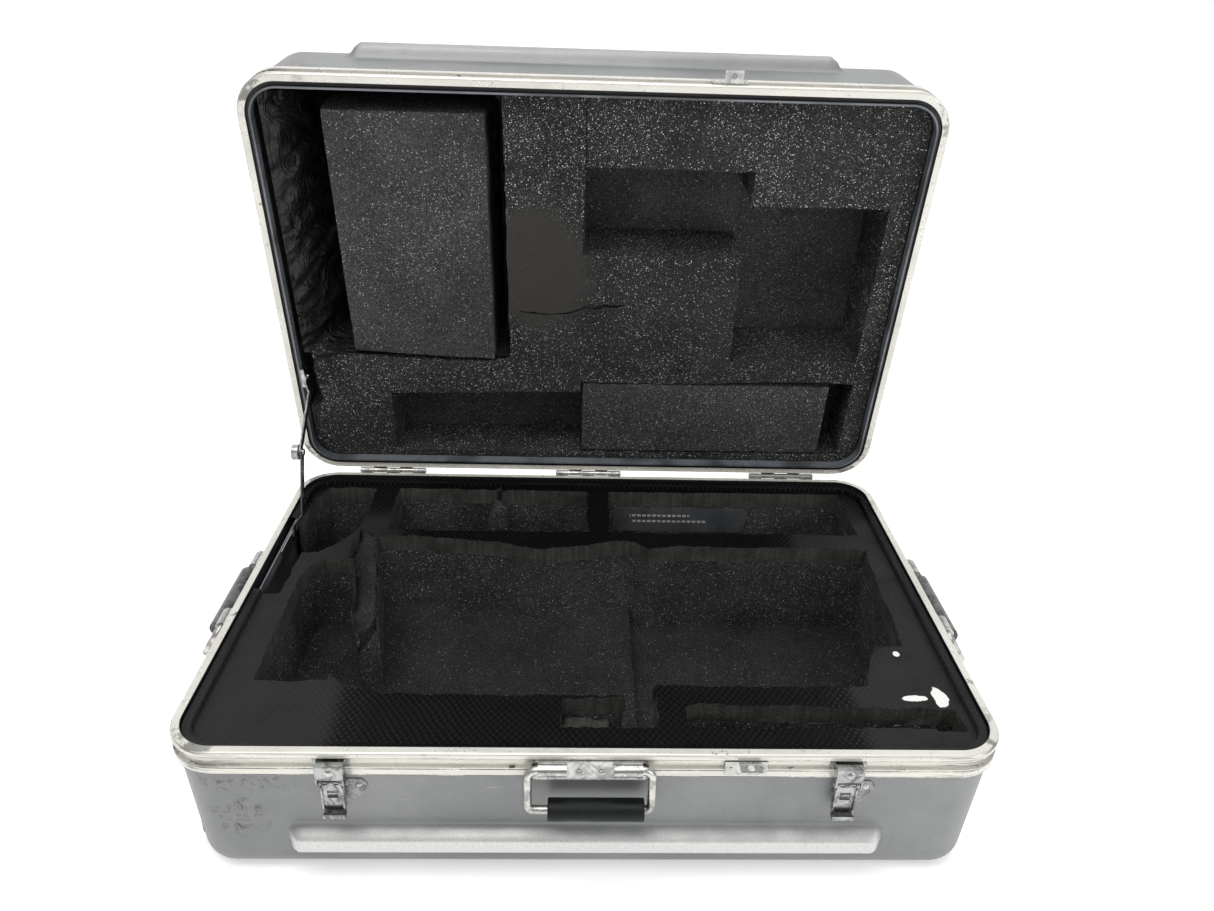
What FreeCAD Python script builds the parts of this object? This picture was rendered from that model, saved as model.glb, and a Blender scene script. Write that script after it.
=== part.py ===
import FreeCAD, Part
import math
import os

Vec = FreeCAD.Vector
os.makedirs("parts", exist_ok=True)
doc = FreeCAD.newDocument("hard_case")
sheet = doc.addObject("Spreadsheet::Sheet", "dims")

DIMENSIONS = (
    ("lip_x", 378.5, "half length inside the valance lip"),
    ("lip_y", 251.0, "half depth inside the valance lip"),
    ("lip_r", 38.0, "corner radius inside the valance lip"),
    ("rim_z", 165.0, "height of the base rim"),
    ("gap", 0.5, "clearance between the closed rims"),
    ("bead_u", 9.0, "reach of the valance bead"),
    ("bead_v", 6.0, "height of the valance bead"),
    ("band_u", 6.0, "reach of the recessed band"),
    ("band_v", 18.0, "depth of the band's lower edge"),
    ("skirt_v", 26.0, "depth of the valance skirt"),
    ("wall_u", 5.5, "reach of the moulded wall"),
    ("wall_t", 3.5, "moulded wall thickness"),
    ("draft", 2.8, "draft angle of the walls"),
    ("edge_r", 26.0, "outer edge radius of the shells"),
    ("lid_v", 145.0, "depth of the lid"),
    ("rib_x", 286.0, "half length of the stiffening rib"),
    ("rib_v", 114.5, "rib centre below the rim"),
    ("rib_w", 36.0, "rib width at its foot"),
    ("rib_out", 13.5, "rib reach beyond the wall"),
    ("hinge_y", 264.5, "hinge axis"),
    ("hinge_z", 166.0, "hinge axis height"),
    ("hinge_l", 90.0, "hinge length"),
    ("hinge_x", 270.0, "outer hinge spacing"),
    ("pin_r", 1.6, "hinge pin radius"),
    ("barrel_r", 3.6, "hinge barrel radius"),
    ("sheet_v", 11.0, "top of the foam below the rim"),
    ("sheet_t", 22.0, "thickness of the upper foam sheet"),
    ("foam_u", 8.4, "foam edge inside the lip"),
    ("rod_r", 4.0, "handle rod radius"),
    ("grip_r", 10.5, "handle grip radius"),
    ("grip_len", 88.0, "handle grip length"),
    ("side_grip_len", 108.0, "grip length of the end handles"),
    ("rod_clear", 0.06, "rod clearance in its bracket"),
    ("fit", 0.05, "running clearance"),
)
OPEN_DEG = 80.8
# half width, arm length, grip length and hanging angle of each handle size
FRONT_HANDLE = (56.3, 43.0, "dims.grip_len", 8.0)
END_HANDLE = (78.0, 34.0, "dims.side_grip_len", 32.0)
LATCH_X = (-232.5, 235.5)

for line, (alias, value, note) in enumerate(DIMENSIONS, start=1):
    sheet.set("A%d" % line, alias)
    sheet.set("B%d" % line, str(value))
    sheet.set("C%d" % line, note)
    sheet.setAlias("B%d" % line, alias)
doc.recompute()
D = {alias: value for alias, value, _ in DIMENSIONS}
NODES = []


def expr(value):
    return value if isinstance(value, str) else repr(float(value))


def bind(thing, prop, value):
    thing.setExpression(prop, expr(value))


def keep(thing, label, placement=None):
    thing.Label = label
    if placement is not None:
        thing.Placement = placement
    NODES.append(thing)
    return thing


def box(name, low, high):
    solid = doc.addObject("Part::Box", name)
    for axis, prop, start, end in zip("xyz", ("Length", "Width", "Height"), low, high):
        bind(solid, prop, "(%s) - (%s)" % (expr(end), expr(start)))
        bind(solid, "Placement.Base." + axis, start)
    return solid


def cylinder(name, radius, length, at, axis="x"):
    solid = doc.addObject("Part::Cylinder", name)
    turn = {
        "x": FreeCAD.Rotation(Vec(0, 1, 0), 90),
        "y": FreeCAD.Rotation(Vec(1, 0, 0), -90),
        "z": FreeCAD.Rotation(),
    }[axis]
    solid.Placement = FreeCAD.Placement(Vec(), turn)
    bind(solid, "Radius", radius)
    bind(solid, "Height", length)
    for letter, value in zip("xyz", at):
        bind(solid, "Placement.Base." + letter, value)
    return solid


def cut(name, base, tool):
    result = doc.addObject("Part::Cut", name)
    result.Base = base
    result.Tool = tool
    return result


def fuse(name, parts):
    result = doc.addObject("Part::MultiFuse", name)
    result.Shapes = parts
    return result


def group(name, parts):
    result = doc.addObject("Part::Compound", name)
    result.Links = parts
    return result


def origin_plane(body, role):
    for feature in body.Origin.OriginFeatures:
        if feature.Role == role:
            return feature
    raise RuntimeError(role)


def sketch_on(body, name, role, offset="0"):
    sketch = body.newObject("Sketcher::SketchObject", name)
    sketch.AttachmentSupport = [(origin_plane(body, role), "")]
    sketch.MapMode = "FlatFace"
    bind(sketch, "AttachmentOffset.Base.z", offset)
    return sketch


def rectangle(sketch, half_x, half_y):
    points = (Vec(-9, -5, 0), Vec(9, -5, 0), Vec(9, 5, 0), Vec(-9, 5, 0))
    for start, end in zip(points, points[1:] + points[:1]):
        sketch.addGeometry(Part.LineSegment(start, end), False)
    for side in range(4):
        sketch.addConstraint(Sketch("Coincident", side, 2, (side + 1) % 4, 1))
    for side in (0, 2):
        sketch.addConstraint(Sketch("Horizontal", side))
    for side in (1, 3):
        sketch.addConstraint(Sketch("Vertical", side))
    for rule, corner, value in (
        ("DistanceX", 1, half_x), ("DistanceY", 1, half_y),
        ("DistanceX", 0, half_x), ("DistanceY", 0, half_y),
    ):
        if corner:
            index = sketch.addConstraint(Sketch(rule, -1, 1, 1, 2, 5.0))
        else:
            index = sketch.addConstraint(Sketch(rule, 3, 2, -1, 1, 5.0))
        sketch.setExpression("Constraints[%d]" % index, expr(value))


def Sketch(*rule):
    import Sketcher
    return Sketcher.Constraint(*rule)


def edge_names(shape, wanted):
    return ["Edge%d" % (i + 1) for i, edge in enumerate(shape.Edges) if wanted(edge)]


def upright(edge):
    ends = edge.Vertexes
    return len(ends) == 2 and abs(ends[0].Z - ends[1].Z) > 0.3 * edge.Length and edge.Length > 1e-3


def slab(name, half_x, half_y, radius, z_from, z_to, draft=None, edge_radius=None):
    """Rounded rectangular block from z_from to z_to; draft shrinks it towards z_to."""
    body = doc.addObject("PartDesign::Body", name)
    outline = sketch_on(body, name + "_outline", "XY_Plane", z_from)
    rectangle(outline, half_x, half_y)
    pad = body.newObject("PartDesign::Pad", name + "_pad")
    pad.Profile = outline
    low = sheet_value(z_from)
    high = sheet_value(z_to)
    bind(pad, "Length", "abs((%s) - (%s))" % (expr(z_to), expr(z_from)))
    pad.Reversed = high < low
    if draft is not None:
        bind(pad, "TaperAngle", "-(%s)" % expr(draft))
    doc.recompute()
    corners = body.newObject("PartDesign::Fillet", name + "_corners")
    corners.Base = (pad, edge_names(pad.Shape, upright))
    bind(corners, "Radius", radius)
    doc.recompute()
    last = corners
    if edge_radius is not None:
        rounded = body.newObject("PartDesign::Fillet", name + "_edge")
        rounded.Base = (corners, edge_names(
            corners.Shape, lambda e: all(abs(v.Z - high) < 1e-4 for v in e.Vertexes)))
        bind(rounded, "Radius", edge_radius)
        doc.recompute()
        last = rounded
    body.Tip = last
    return body


def sheet_value(text):
    if not isinstance(text, str):
        return float(text)
    value = text
    for alias in sorted(D, key=len, reverse=True):
        value = value.replace("dims." + alias, repr(D[alias]))
    total = 0.0
    for term in value.replace("-", "+-").split("+"):
        if term.strip():
            total += float(term.replace(" ", ""))
    return total


def layer(name, reach_out, reach_in, z_low, z_high):
    """Ring that follows the lip between two reaches, measured outwards from it."""
    outer = slab(name + "_out", "dims.lip_x + %s" % expr(reach_out), "dims.lip_y + %s" % expr(reach_out),
                 "dims.lip_r + %s" % expr(reach_out), z_low, z_high)
    inner = slab(name + "_in", "dims.lip_x + %s" % expr(reach_in), "dims.lip_y + %s" % expr(reach_in),
                 "dims.lip_r + %s" % expr(reach_in), z_low + " - 1", z_high + " + 1")
    return cut(name, outer, inner)


HINGE = Vec(0, D["hinge_y"], D["hinge_z"])
OPENED = FreeCAD.Placement(Vec(), FreeCAD.Rotation(Vec(1, 0, 0), -OPEN_DEG), HINGE)
LID_RIM = D["rim_z"] + D["gap"]


def valance(prefix, rim, way):
    """Rim extrusion: bead, recessed band, skirt, groove floor; way is -1 below the rim, 1 above."""
    def band(name, reach_out, reach_in, near, far):
        ends = ["%s + %s" % (rim, expr(way * near)), "%s + %s" % (rim, expr(way * far))]
        low, high = ends if way > 0 else ends[::-1]
        return layer(prefix + name, reach_out, reach_in, low, high)

    return [
        band("_bead", 9.0, 0.0, 0.0, 6.0),
        band("_web", 6.0, 0.0, 5.9, 18.0),
        band("_skirt", 9.0, 5.6, 17.9, 26.0),
        band("_ledge", 9.0, -1.0, 16.4, 18.0),
    ]


def round_bead(name, source, height):
    doc.recompute()
    reach_x = D["lip_x"] + D["bead_u"]
    reach_y = D["lip_y"] + D["bead_u"]

    def outermost(edge):
        box_of = edge.BoundBox
        flat = abs(box_of.ZMin - height) < 1e-4 and abs(box_of.ZMax - height) < 1e-4
        wide = max(abs(box_of.XMin), abs(box_of.XMax)) > reach_x - 14
        deep = max(abs(box_of.YMin), abs(box_of.YMax)) > reach_y - 1e-3
        side = max(abs(box_of.XMin), abs(box_of.XMax)) > reach_x - 1e-3
        return flat and (side or deep) and (wide or deep)

    soft = doc.addObject("Part::Fillet", name)
    soft.Base = source
    soft.Edges = [(i + 1, 2.4, 2.4) for i, e in enumerate(source.Shape.Edges) if outermost(e)]
    return soft


# ---------------------------------------------------------------- base shell and rim
def shell(prefix, rim, way, depth):
    start = "%s + %s" % (rim, expr(way * D["band_v"]))
    end = "%s + %s" % (rim, expr(way * depth))
    outer = slab(prefix + "_outer", "dims.lip_x + dims.wall_u", "dims.lip_y + dims.wall_u",
                 "dims.lip_r + dims.wall_u", start, end, "dims.draft", "dims.edge_r")
    inner = slab(prefix + "_inner", "dims.lip_x + dims.wall_u - dims.wall_t",
                 "dims.lip_y + dims.wall_u - dims.wall_t", "dims.lip_r + dims.wall_u - dims.wall_t",
                 start, "%s + %s" % (rim, expr(way * (depth - 4.0))), "dims.draft",
                 "dims.edge_r - dims.wall_t")
    ribs = []
    centre = sheet_value(rim) + way * D["rib_v"]
    for side in (-1, 1):
        body = doc.addObject("PartDesign::Body", "%s_rib%d" % (prefix, (side + 3) // 2))
        outline = sketch_on(body, body.Name + "_outline", "XY_Plane", "0")
        rectangle(outline, "dims.rib_x", "dims.rib_w / 2")
        pad = body.newObject("PartDesign::Pad", body.Name + "_pad")
        pad.Profile = outline
        bind(pad, "Length", "dims.rib_out + 5")
        pad.TaperAngle = -32.0
        doc.recompute()
        rounded = body.newObject("PartDesign::Fillet", body.Name + "_soft")
        rounded.Base = (pad, edge_names(pad.Shape, lambda e: e.BoundBox.ZMin > 1.0 or upright(e)))
        rounded.Radius = 6.0
        body.Tip = rounded
        reach = D["lip_y"] + D["wall_u"] - 5.0 - D["rib_v"] * math.tan(math.radians(D["draft"]))
        body.Placement = FreeCAD.Placement(
            Vec(0, side * reach, centre), FreeCAD.Rotation(Vec(1, 0, 0), -side * 90))
        ribs.append(body)
    ribbed = fuse(prefix + "_ribbed", [outer] + ribs)
    return cut(prefix + "_hollow", ribbed, inner)


def feet():
    pads = []
    for number, y in enumerate((-212.0, 158.0)):
        pad = box("foot%d" % number, (-386.4, y, 8.0), (-380.2, y + 54.0, 66.0))
        doc.recompute()
        soft = doc.addObject("Part::Fillet", "foot_soft%d" % number)
        soft.Base = pad
        soft.Edges = [(i + 1, 2.5, 2.5) for i, e in enumerate(pad.Shape.Edges)
                      if e.BoundBox.XMax < -385]
        pads.append(soft)
    return pads


base_hollow = shell("base", "dims.rim_z", -1, D["rim_z"])
keep(base_hollow, "base_shell")
outer_copy = slab("foot_trim", "dims.lip_x + dims.wall_u", "dims.lip_y + dims.wall_u",
                  "dims.lip_r + dims.wall_u", "dims.rim_z - 18", 0.0, "dims.draft", "dims.edge_r")
keep(cut("end_feet_trimmed", group("end_feet_blocks", feet()), outer_copy), "end_feet")

base_rim = fuse("base_rim", valance("bv", "dims.rim_z", -1)
                + [layer("bv_inner_lip", -6.5, -8.0, "dims.rim_z - 18", "dims.rim_z - 6"),
                   layer("bv_floor", 1.0, -8.0, "dims.rim_z - 18", "dims.rim_z - 16.4")])
keep(round_bead("base_rim_soft", base_rim, D["rim_z"]), "base_valance")


# ---------------------------------------------------------------- base foam
TOP = D["rim_z"] - D["sheet_v"]
POCKETS = {
    "rear_left": (-350.0, -290.0, 76.0, 232.0, 40.0),
    "rear_middle": (-258.0, -1.0, 130.0, 234.0, 60.0),
    "rear_right": (27.0, 346.0, 130.0, 234.0, 60.0),
    "main_left": (-258.0, 53.5, -170.0, 106.0, 53.0),
    "main_right": (53.0, 345.0, -90.0, 98.0, 32.0),
    "main_front": (53.0, 288.0, -155.0, -89.0, 32.0),
    "left_lobe": (-336.0, -272.0, -152.0, 62.0, 60.0),
    "front_centre": (-27.0, 66.0, -214.0, -174.0, 84.0),
    "front_slot": (92.0, 362.0, -214.0, -183.0, 112.0),
    "torn_gap": (-272.5, -257.5, -152.0, -45.0, 72.0),
    "stay_well": (-372.0, -350.5, -4.0, 140.0, 104.0),
}
FLOOR_Z = 32.0


def pocket_tools(prefix):
    tools = []
    for name, (x0, x1, y0, y1, floor) in POCKETS.items():
        tools.append(box(prefix + name, (x0, y0, floor), (x1, y1, 170.0)))
    return fuse(prefix + "all", tools)


foam_x = "dims.lip_x - dims.foam_u"
foam_y = "dims.lip_y - dims.foam_u"
block_top = "dims.rim_z - dims.sheet_v - dims.sheet_t"
block = slab("foam_block_solid", foam_x, foam_y, "dims.lip_r - dims.foam_u", block_top, 4.0, "dims.draft", 20.0)
upper_half = box("foam_upper_half", (-400.0, -280.0, FLOOR_Z), (400.0, 280.0, 140.0))
upper = doc.addObject("Part::Common", "foam_block_upper")
upper.Base = block
upper.Tool = upper_half
keep(cut("foam_block_cut", upper, pocket_tools("pb_")), "base_foam_block")
whole = slab("foam_floor_solid", foam_x, foam_y, "dims.lip_r - dims.foam_u", block_top, 4.0, "dims.draft", 20.0)
floor = doc.addObject("Part::Common", "foam_floor_set")
floor.Base = whole
floor.Tool = box("foam_lower_half", (-400.0, -280.0, 0.0), (400.0, 280.0, FLOOR_Z))
keep(floor, "base_foam_floor")
top_sheet = slab("foam_sheet_solid", foam_x, foam_y, "dims.lip_r - dims.foam_u",
                 "dims.rim_z - dims.sheet_v - dims.sheet_t", "dims.rim_z - dims.sheet_v")
keep(cut("foam_sheet_cut", top_sheet, pocket_tools("ps_")), "base_foam_sheet")
keep(box("divider", (-137.0, 204.0, 60.0), (-107.0, 234.0, 139.0)), "foam_divider")
keep(box("label", (40.0, 232.8, 92.0), (220.0, 234.0, 130.0)), "pocket_label")
keep(box("filler", (-27.0, -214.0, 84.0), (20.0, -174.0, 138.0)), "foam_filler")


# ---------------------------------------------------------------- lid shell, rim, gasket
LID = "dims.rim_z + dims.gap"
keep(shell("lid", LID, 1, D["lid_v"]), "lid_shell", OPENED)
lid_rim = fuse("lid_rim", valance("lv", LID, 1)
               + [layer("lv_tongue", -3.8, -6.4, LID + " - 2", LID + " + 10"),
                  layer("lv_floor", 1.0, -6.4, LID + " + 8.4", LID + " + 10")])
keep(round_bead("lid_rim_soft", lid_rim, LID_RIM), "lid_valance", OPENED)
keep(layer("gasket_ring", -0.2, -3.6, LID + " + 2", LID + " + 8.4"), "lid_gasket", OPENED)

# ---------------------------------------------------------------- lid foam and lining
FACE = LID_RIM + 9.0
BACK = LID_RIM + D["lid_v"] - 4.0
lid_block = slab("lid_foam_solid", "dims.lip_x - 7.2", "dims.lip_y - 7.2", "dims.lip_r - 7.2",
                 LID + " + 10.2", BACK, "dims.draft", 18.0)
LID_CUTS = {
    "upper_left": (-262.0, -12.0, 137.0, 234.0, 64.0),
    "insert_bay": (-11.9, 346.0, 121.0, 234.0, 64.0),
    "tall_recess": (181.0, 344.0, -124.0, 84.0, 91.0),
    "wide_recess": (-11.0, 181.5, -165.0, -58.0, 85.0),
    "lining_bay": (-380.0, -104.0, -252.0, 88.0, 150.0),
    "stay_relief": (-380.0, -351.0, -4.0, 150.0, 40.0),
}
lid_tools = [box("lc_" + name, (x0, y0, FACE - 8.0), (x1, y1, min(FACE + deep, BACK + 5.0)))
             for name, (x0, x1, y0, y1, deep) in LID_CUTS.items()]
keep(cut("lid_foam_cut", lid_block, fuse("lid_tools", lid_tools)), "lid_foam", OPENED)
insert = box("insert", (-11.6, 121.3, FACE + 1.2), (318.0, 233.7, FACE + 64.0))
keep(group("insert_set", [insert]), "lid_foam_insert", OPENED)

tray_out = box("tray_out", (-362.0, -236.0, FACE + 30.0), (-104.3, 87.7, BACK))
tray_in = box("tray_in", (-360.5, -234.5, FACE + 29.0), (-105.8, 86.2, BACK - 1.5))
tray_edge = slab("tray_edge", "dims.lip_x - 7.4", "dims.lip_y - 7.4", "dims.lip_r - 7.4",
                 LID + " + 10.2", BACK, "dims.draft", 18.0)
lining = doc.addObject("Part::Common", "lining_common")
lining.Base = cut("lining_tray", tray_out, tray_in)
lining.Tool = tray_edge
keep(lining, "lid_lining", OPENED)
loose = box("loose_block", (-302.0, -222.0, FACE + 1.0), (-123.0, 84.0, BACK - 1.5))
keep(group("loose_set", [loose]), "lid_foam_loose", OPENED)

# ---------------------------------------------------------------- hinges
KNUCKLES = 5


def leaf(name, x_centre, way, turns):
    """One hinge leaf on the rim's outer face with its share of knuckles."""
    half = D["hinge_l"] / 2
    rim = D["rim_z"] if way < 0 else LID_RIM
    z_near = rim + way * 4.0
    z_far = rim + way * 25.0
    low, high = sorted((z_near, z_far))
    parts = [box(name + "_plate", (x_centre - half, 260.0, low), (x_centre + half, 261.8, high))]
    step = D["hinge_l"] / KNUCKLES
    for turn in turns:
        x0 = x_centre - half + turn * step + 0.2
        tube = cylinder("%s_tube%d" % (name, turn), "dims.barrel_r", step - 0.4,
                        (x0, "dims.hinge_y", "dims.hinge_z"))
        near, far = sorted((HINGE.z, z_near + way))
        neck = box("%s_neck%d" % (name, turn), (x0, 260.0 + 0.95, near), (x0 + step - 0.4, 263.0, far))
        parts += [tube, neck]
    body = fuse(name + "_body", parts)
    tools = []
    gaps = [turn for turn in range(KNUCKLES) if turn not in turns]
    for turn in gaps:
        x0 = x_centre - half + turn * step
        far_z = HINGE.z + way * 4.2
        near_z = HINGE.z - way * 5.0
        b0, b1 = sorted((near_z, far_z))
        tools.append(box("%s_gap%d" % (name, turn), (x0, 259.0, b0), (x0 + step, 270.0, b1)))
    radius = "dims.pin_r" if way < 0 else "dims.pin_r + dims.fit"
    tools.append(cylinder(name + "_bore", radius, D["hinge_l"] + 2,
                          (x_centre - half - 1, "dims.hinge_y", "dims.hinge_z")))
    return cut(name, body, fuse(name + "_tools", tools))


base_leaves, lid_leaves, pins = [], [], []
for number, x_centre in enumerate((-D["hinge_x"], 0.0, D["hinge_x"])):
    base_leaves.append(leaf("base_leaf%d" % number, x_centre, -1, (0, 2, 4)))
    lid_leaves.append(leaf("lid_leaf%d" % number, x_centre, 1, (1, 3)))
    pins.append(cylinder("hinge_pin%d" % number, "dims.pin_r", D["hinge_l"] + 1.0,
                         (x_centre - D["hinge_l"] / 2 - 0.5, "dims.hinge_y", "dims.hinge_z")))
keep(group("base_leaf_set", base_leaves), "hinge_leaves_base")
keep(group("lid_leaf_set", lid_leaves), "hinge_leaves_lid", OPENED)
keep(group("hinge_pin_set", pins), "hinge_pins")


# ---------------------------------------------------------------- handles
PIVOT_OUT = 7.0
PIVOT_DOWN = 11.5


def handle(name, turn_deg, reach, shift, size):
    """Drop handle on a rim face; built facing the front, then turned about Z and moved out."""
    half, arm, grip_len, hang_deg = size
    place = FreeCAD.Placement(Vec(), FreeCAD.Rotation(Vec(0, 0, 1), turn_deg)).multiply(
        FreeCAD.Placement(Vec(0, -reach, D["rim_z"]), FreeCAD.Rotation()))
    axis_z = -PIVOT_DOWN
    plate = box(name + "_plate", (3.3 - half, -2.2, -28.0), (half - 3.3, 0.0, -6.2))
    doc.recompute()
    soft = doc.addObject("Part::Fillet", name + "_plate_soft")
    soft.Base = plate
    soft.Edges = [(i + 1, 4.5, 4.5) for i, e in enumerate(plate.Shape.Edges)
                  if e.BoundBox.YLength > 1.0]
    parts = [soft]
    for side in (-1, 1):
        x0 = half - 35.3 if side > 0 else 9.3 - half
        tag = "%s_sleeve%d" % (name, (side + 3) // 2)
        parts.append(cylinder(tag, "dims.rod_r + 1.9", 26.0, (x0, -PIVOT_OUT, axis_z)))
        parts.append(box(tag + "_foot", (x0, -PIVOT_OUT, axis_z - 5.3), (x0 + 26.0, -1.0, axis_z + 5.3)))
    bores = [cylinder("%s_bore%d" % (name, side), "dims.rod_r + dims.rod_clear", 29.0,
                      (half - 36.3 if side else 7.3 - half, -PIVOT_OUT, axis_z)) for side in (0, 1)]
    keep(cut(name + "_bracket", fuse(name + "_bracket_solid", parts), fuse(name + "_bores", bores)),
         "handle_bracket_" + name, place)

    body = doc.addObject("PartDesign::Body", name + "_rod")
    path = sketch_on(body, name + "_path", "XZ_Plane", "0")
    top_r, low_r = 9.0, 6.0
    x_out, x_top, x_low, x_end = half, half - top_r, half - low_r, half - 34.3
    diagonal = math.sqrt(0.5)
    stations = [Vec(-x_end, 0, 0), Vec(-x_top, 0, 0), Vec(-x_out, -top_r, 0),
                Vec(-x_out, -arm + low_r, 0), Vec(-x_low, -arm, 0)]
    bends = [Vec(-x_top - top_r * diagonal, -top_r + top_r * diagonal, 0),
             Vec(-x_low - low_r * diagonal, -arm + low_r - low_r * diagonal, 0)]
    right = [Vec(-p.x, p.y, 0) for p in stations]
    right_bends = [Vec(-p.x, p.y, 0) for p in bends]
    path.addGeometry(Part.LineSegment(stations[0], stations[1]), False)
    path.addGeometry(Part.Arc(stations[1], bends[0], stations[2]), False)
    path.addGeometry(Part.LineSegment(stations[2], stations[3]), False)
    path.addGeometry(Part.Arc(stations[3], bends[1], stations[4]), False)
    path.addGeometry(Part.LineSegment(stations[4], right[4]), False)
    path.addGeometry(Part.Arc(right[4], right_bends[1], right[3]), False)
    path.addGeometry(Part.LineSegment(right[3], right[2]), False)
    path.addGeometry(Part.Arc(right[2], right_bends[0], right[1]), False)
    path.addGeometry(Part.LineSegment(right[1], right[0]), False)
    circle = sketch_on(body, name + "_section", "YZ_Plane", str(-x_end))
    circle.addGeometry(Part.Circle(Vec(0, 0, 0), Vec(0, 0, 1), D["rod_r"]), False)
    index = circle.addConstraint(Sketch("Radius", 0, D["rod_r"]))
    circle.setExpression("Constraints[%d]" % index, "dims.rod_r")
    doc.recompute()
    pipe = body.newObject("PartDesign::AdditivePipe", name + "_pipe")
    pipe.Profile = circle
    pipe.Spine = (path, ["Edge%d" % (i + 1) for i in range(9)])
    body.Tip = pipe
    swing = FreeCAD.Placement(Vec(0, -PIVOT_OUT, axis_z), FreeCAD.Rotation(Vec(1, 0, 0), -hang_deg))
    keep(body, "handle_bail_" + name, place.multiply(swing))

    start = shift - sheet_value(grip_len) / 2
    tube = cylinder(name + "_grip_out", "dims.grip_r", grip_len, (start, 0.0, -arm))
    bore = cylinder(name + "_grip_bore", "dims.rod_r + 0.08", 130.0, (start - 5.0, 0.0, -arm))
    doc.recompute()
    softened = doc.addObject("Part::Fillet", name + "_grip_soft")
    softened.Base = tube
    softened.Edges = [(i + 1, 1.5, 1.5) for i, e in enumerate(tube.Shape.Edges)
                      if e.BoundBox.XLength < 0.1]
    keep(cut(name + "_grip", softened, bore), "handle_grip_" + name, place.multiply(swing))


FRONT = D["lip_y"] + D["bead_u"]
END = D["lip_x"] + D["bead_u"]
handle("front", 0.0, FRONT, 5.9, FRONT_HANDLE)
handle("left", -90.0, END, -17.6, END_HANDLE)
handle("right", 90.0, END, 17.6, END_HANDLE)


# ---------------------------------------------------------------- latches
LATCH_PIN = Vec(0, -266.0, 136.5)
CLAW_PIN = Vec(0, -262.4, 120.5)


def ear(tag, x0, x1):
    return [cylinder(tag + "_round", 3.6, x1 - x0, (x0, LATCH_PIN.y, LATCH_PIN.z)),
            box(tag + "_arm", (x0, LATCH_PIN.y - 3.4, LATCH_PIN.z), (x1, -260.2, 157.0))]


def latch(side, x):
    tag = "latch_" + side
    parts = [
        box(tag + "_web", (x - 12.5, -269.4, 141.7), (x + 12.5, -267.9, 157.0)),
        box(tag + "_lid", (x - 12.5, -269.4, 155.5), (x + 12.5, -257.2, 157.0)),
        box(tag + "_foot", (x - 16.5, -258.6, 148.65), (x + 16.5, -257.0, 157.0)),
    ]
    for number, x0 in enumerate((x - 12.5, x + 11.0)):
        parts += ear("%s_ear%d" % (tag, number), x0, x0 + 1.5)
        parts.append(box("%s_cheek%d" % (tag, number), (x0, -260.4, 148.65), (x0 + 1.5, -257.2, 157.0)))
    bore = cylinder(tag + "_ear_bore", 1.5, 40.0, (x - 20.0, LATCH_PIN.y, LATCH_PIN.z))
    keep(cut(tag + "_bracket", fuse(tag + "_bracket_solid", parts), bore), "latch_bracket_" + side)
    rod = cylinder(tag + "_pin", 1.5, 27.6, (x - 13.8, LATCH_PIN.y, LATCH_PIN.z))
    head = doc.addObject("Part::Sphere", tag + "_pin_head")
    head.Radius = 2.4
    head.Placement.Base = Vec(x + 14.6, LATCH_PIN.y, LATCH_PIN.z)
    keep(fuse(tag + "_pin_set", [rod, head]), "latch_pin_" + side)

    knuckles = [cylinder("%s_knuckle%d" % (tag, number), 2.9, x1 - x0, (x + x0, LATCH_PIN.y, LATCH_PIN.z))
                for number, (x0, x1) in enumerate(((-10.6, -7.4), (-3.2, 3.2), (7.4, 10.6)))]
    hangers = [box("%s_hanger%d" % (tag, number), (x + x0, -265.9, 128.5), (x + x1, -263.6, 136.5))
               for number, (x0, x1) in enumerate(((-10.6, -7.4), (-3.2, 3.2), (7.4, 10.6)))]
    lever_parts = knuckles + hangers + [
        box(tag + "_plate", (x - 10.2, -265.1, 98.5), (x + 10.2, -263.7, 131.7)),
        box(tag + "_lip", (x - 10.2, -271.2, 95.5), (x + 10.2, -263.7, 97.3)),
        box(tag + "_bend", (x - 10.2, -265.1, 95.5), (x + 10.2, -263.7, 99.5)),
        box(tag + "_lip_turn", (x - 10.2, -271.2, 95.5), (x + 10.2, -269.9, 100.3)),
    ]
    for number, x0 in enumerate((x - 10.2, x + 8.8)):
        lever_parts.append(box("%s_flank%d" % (tag, number), (x0, -267.2, 102.0), (x0 + 1.4, -260.4, 130.5)))
    lever_cuts = [
        cylinder(tag + "_knuckle_bore", "1.5 + dims.fit", 40.0, (x - 20.0, LATCH_PIN.y, LATCH_PIN.z)),
        box(tag + "_window", (x - 4.8, -266.5, 115.9), (x + 4.8, -263.0, 124.9)),
        cylinder(tag + "_claw_bore", 1.2, 24.0, (x - 12.0, CLAW_PIN.y, CLAW_PIN.z)),
    ]
    keep(cut(tag + "_lever", fuse(tag + "_lever_solid", lever_parts), fuse(tag + "_lever_cuts", lever_cuts)),
         "latch_lever_" + side)
    keep(cylinder(tag + "_claw_pin", 1.2, 20.4, (x - 10.2, CLAW_PIN.y, CLAW_PIN.z)),
         "latch_claw_pin_" + side)
    claw_parts = [
        cylinder(tag + "_claw_barrel", 2.5, 8.4, (x - 4.2, CLAW_PIN.y, CLAW_PIN.z)),
        box(tag + "_claw_plate", (x - 4.2, -263.3, 120.5), (x + 4.2, -261.7, 131.5)),
        box(tag + "_claw_hook", (x - 4.2, -263.3, 130.1), (x + 4.2, -258.6, 131.5)),
    ]
    claw_bore = cylinder(tag + "_claw_hole", "1.2 + dims.fit", 20.0, (x - 10.0, CLAW_PIN.y, CLAW_PIN.z))
    keep(cut(tag + "_claw", fuse(tag + "_claw_solid", claw_parts), claw_bore), "latch_claw_" + side)


def on_front_wall(x):
    """Frame on the sloping front wall below the rim: local -Y points out of it."""
    reach = D["lip_y"] + D["wall_u"]
    return FreeCAD.Placement(Vec(x, -reach, D["rim_z"] - D["band_v"]),
                             FreeCAD.Rotation(Vec(1, 0, 0), D["draft"]))


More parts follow.
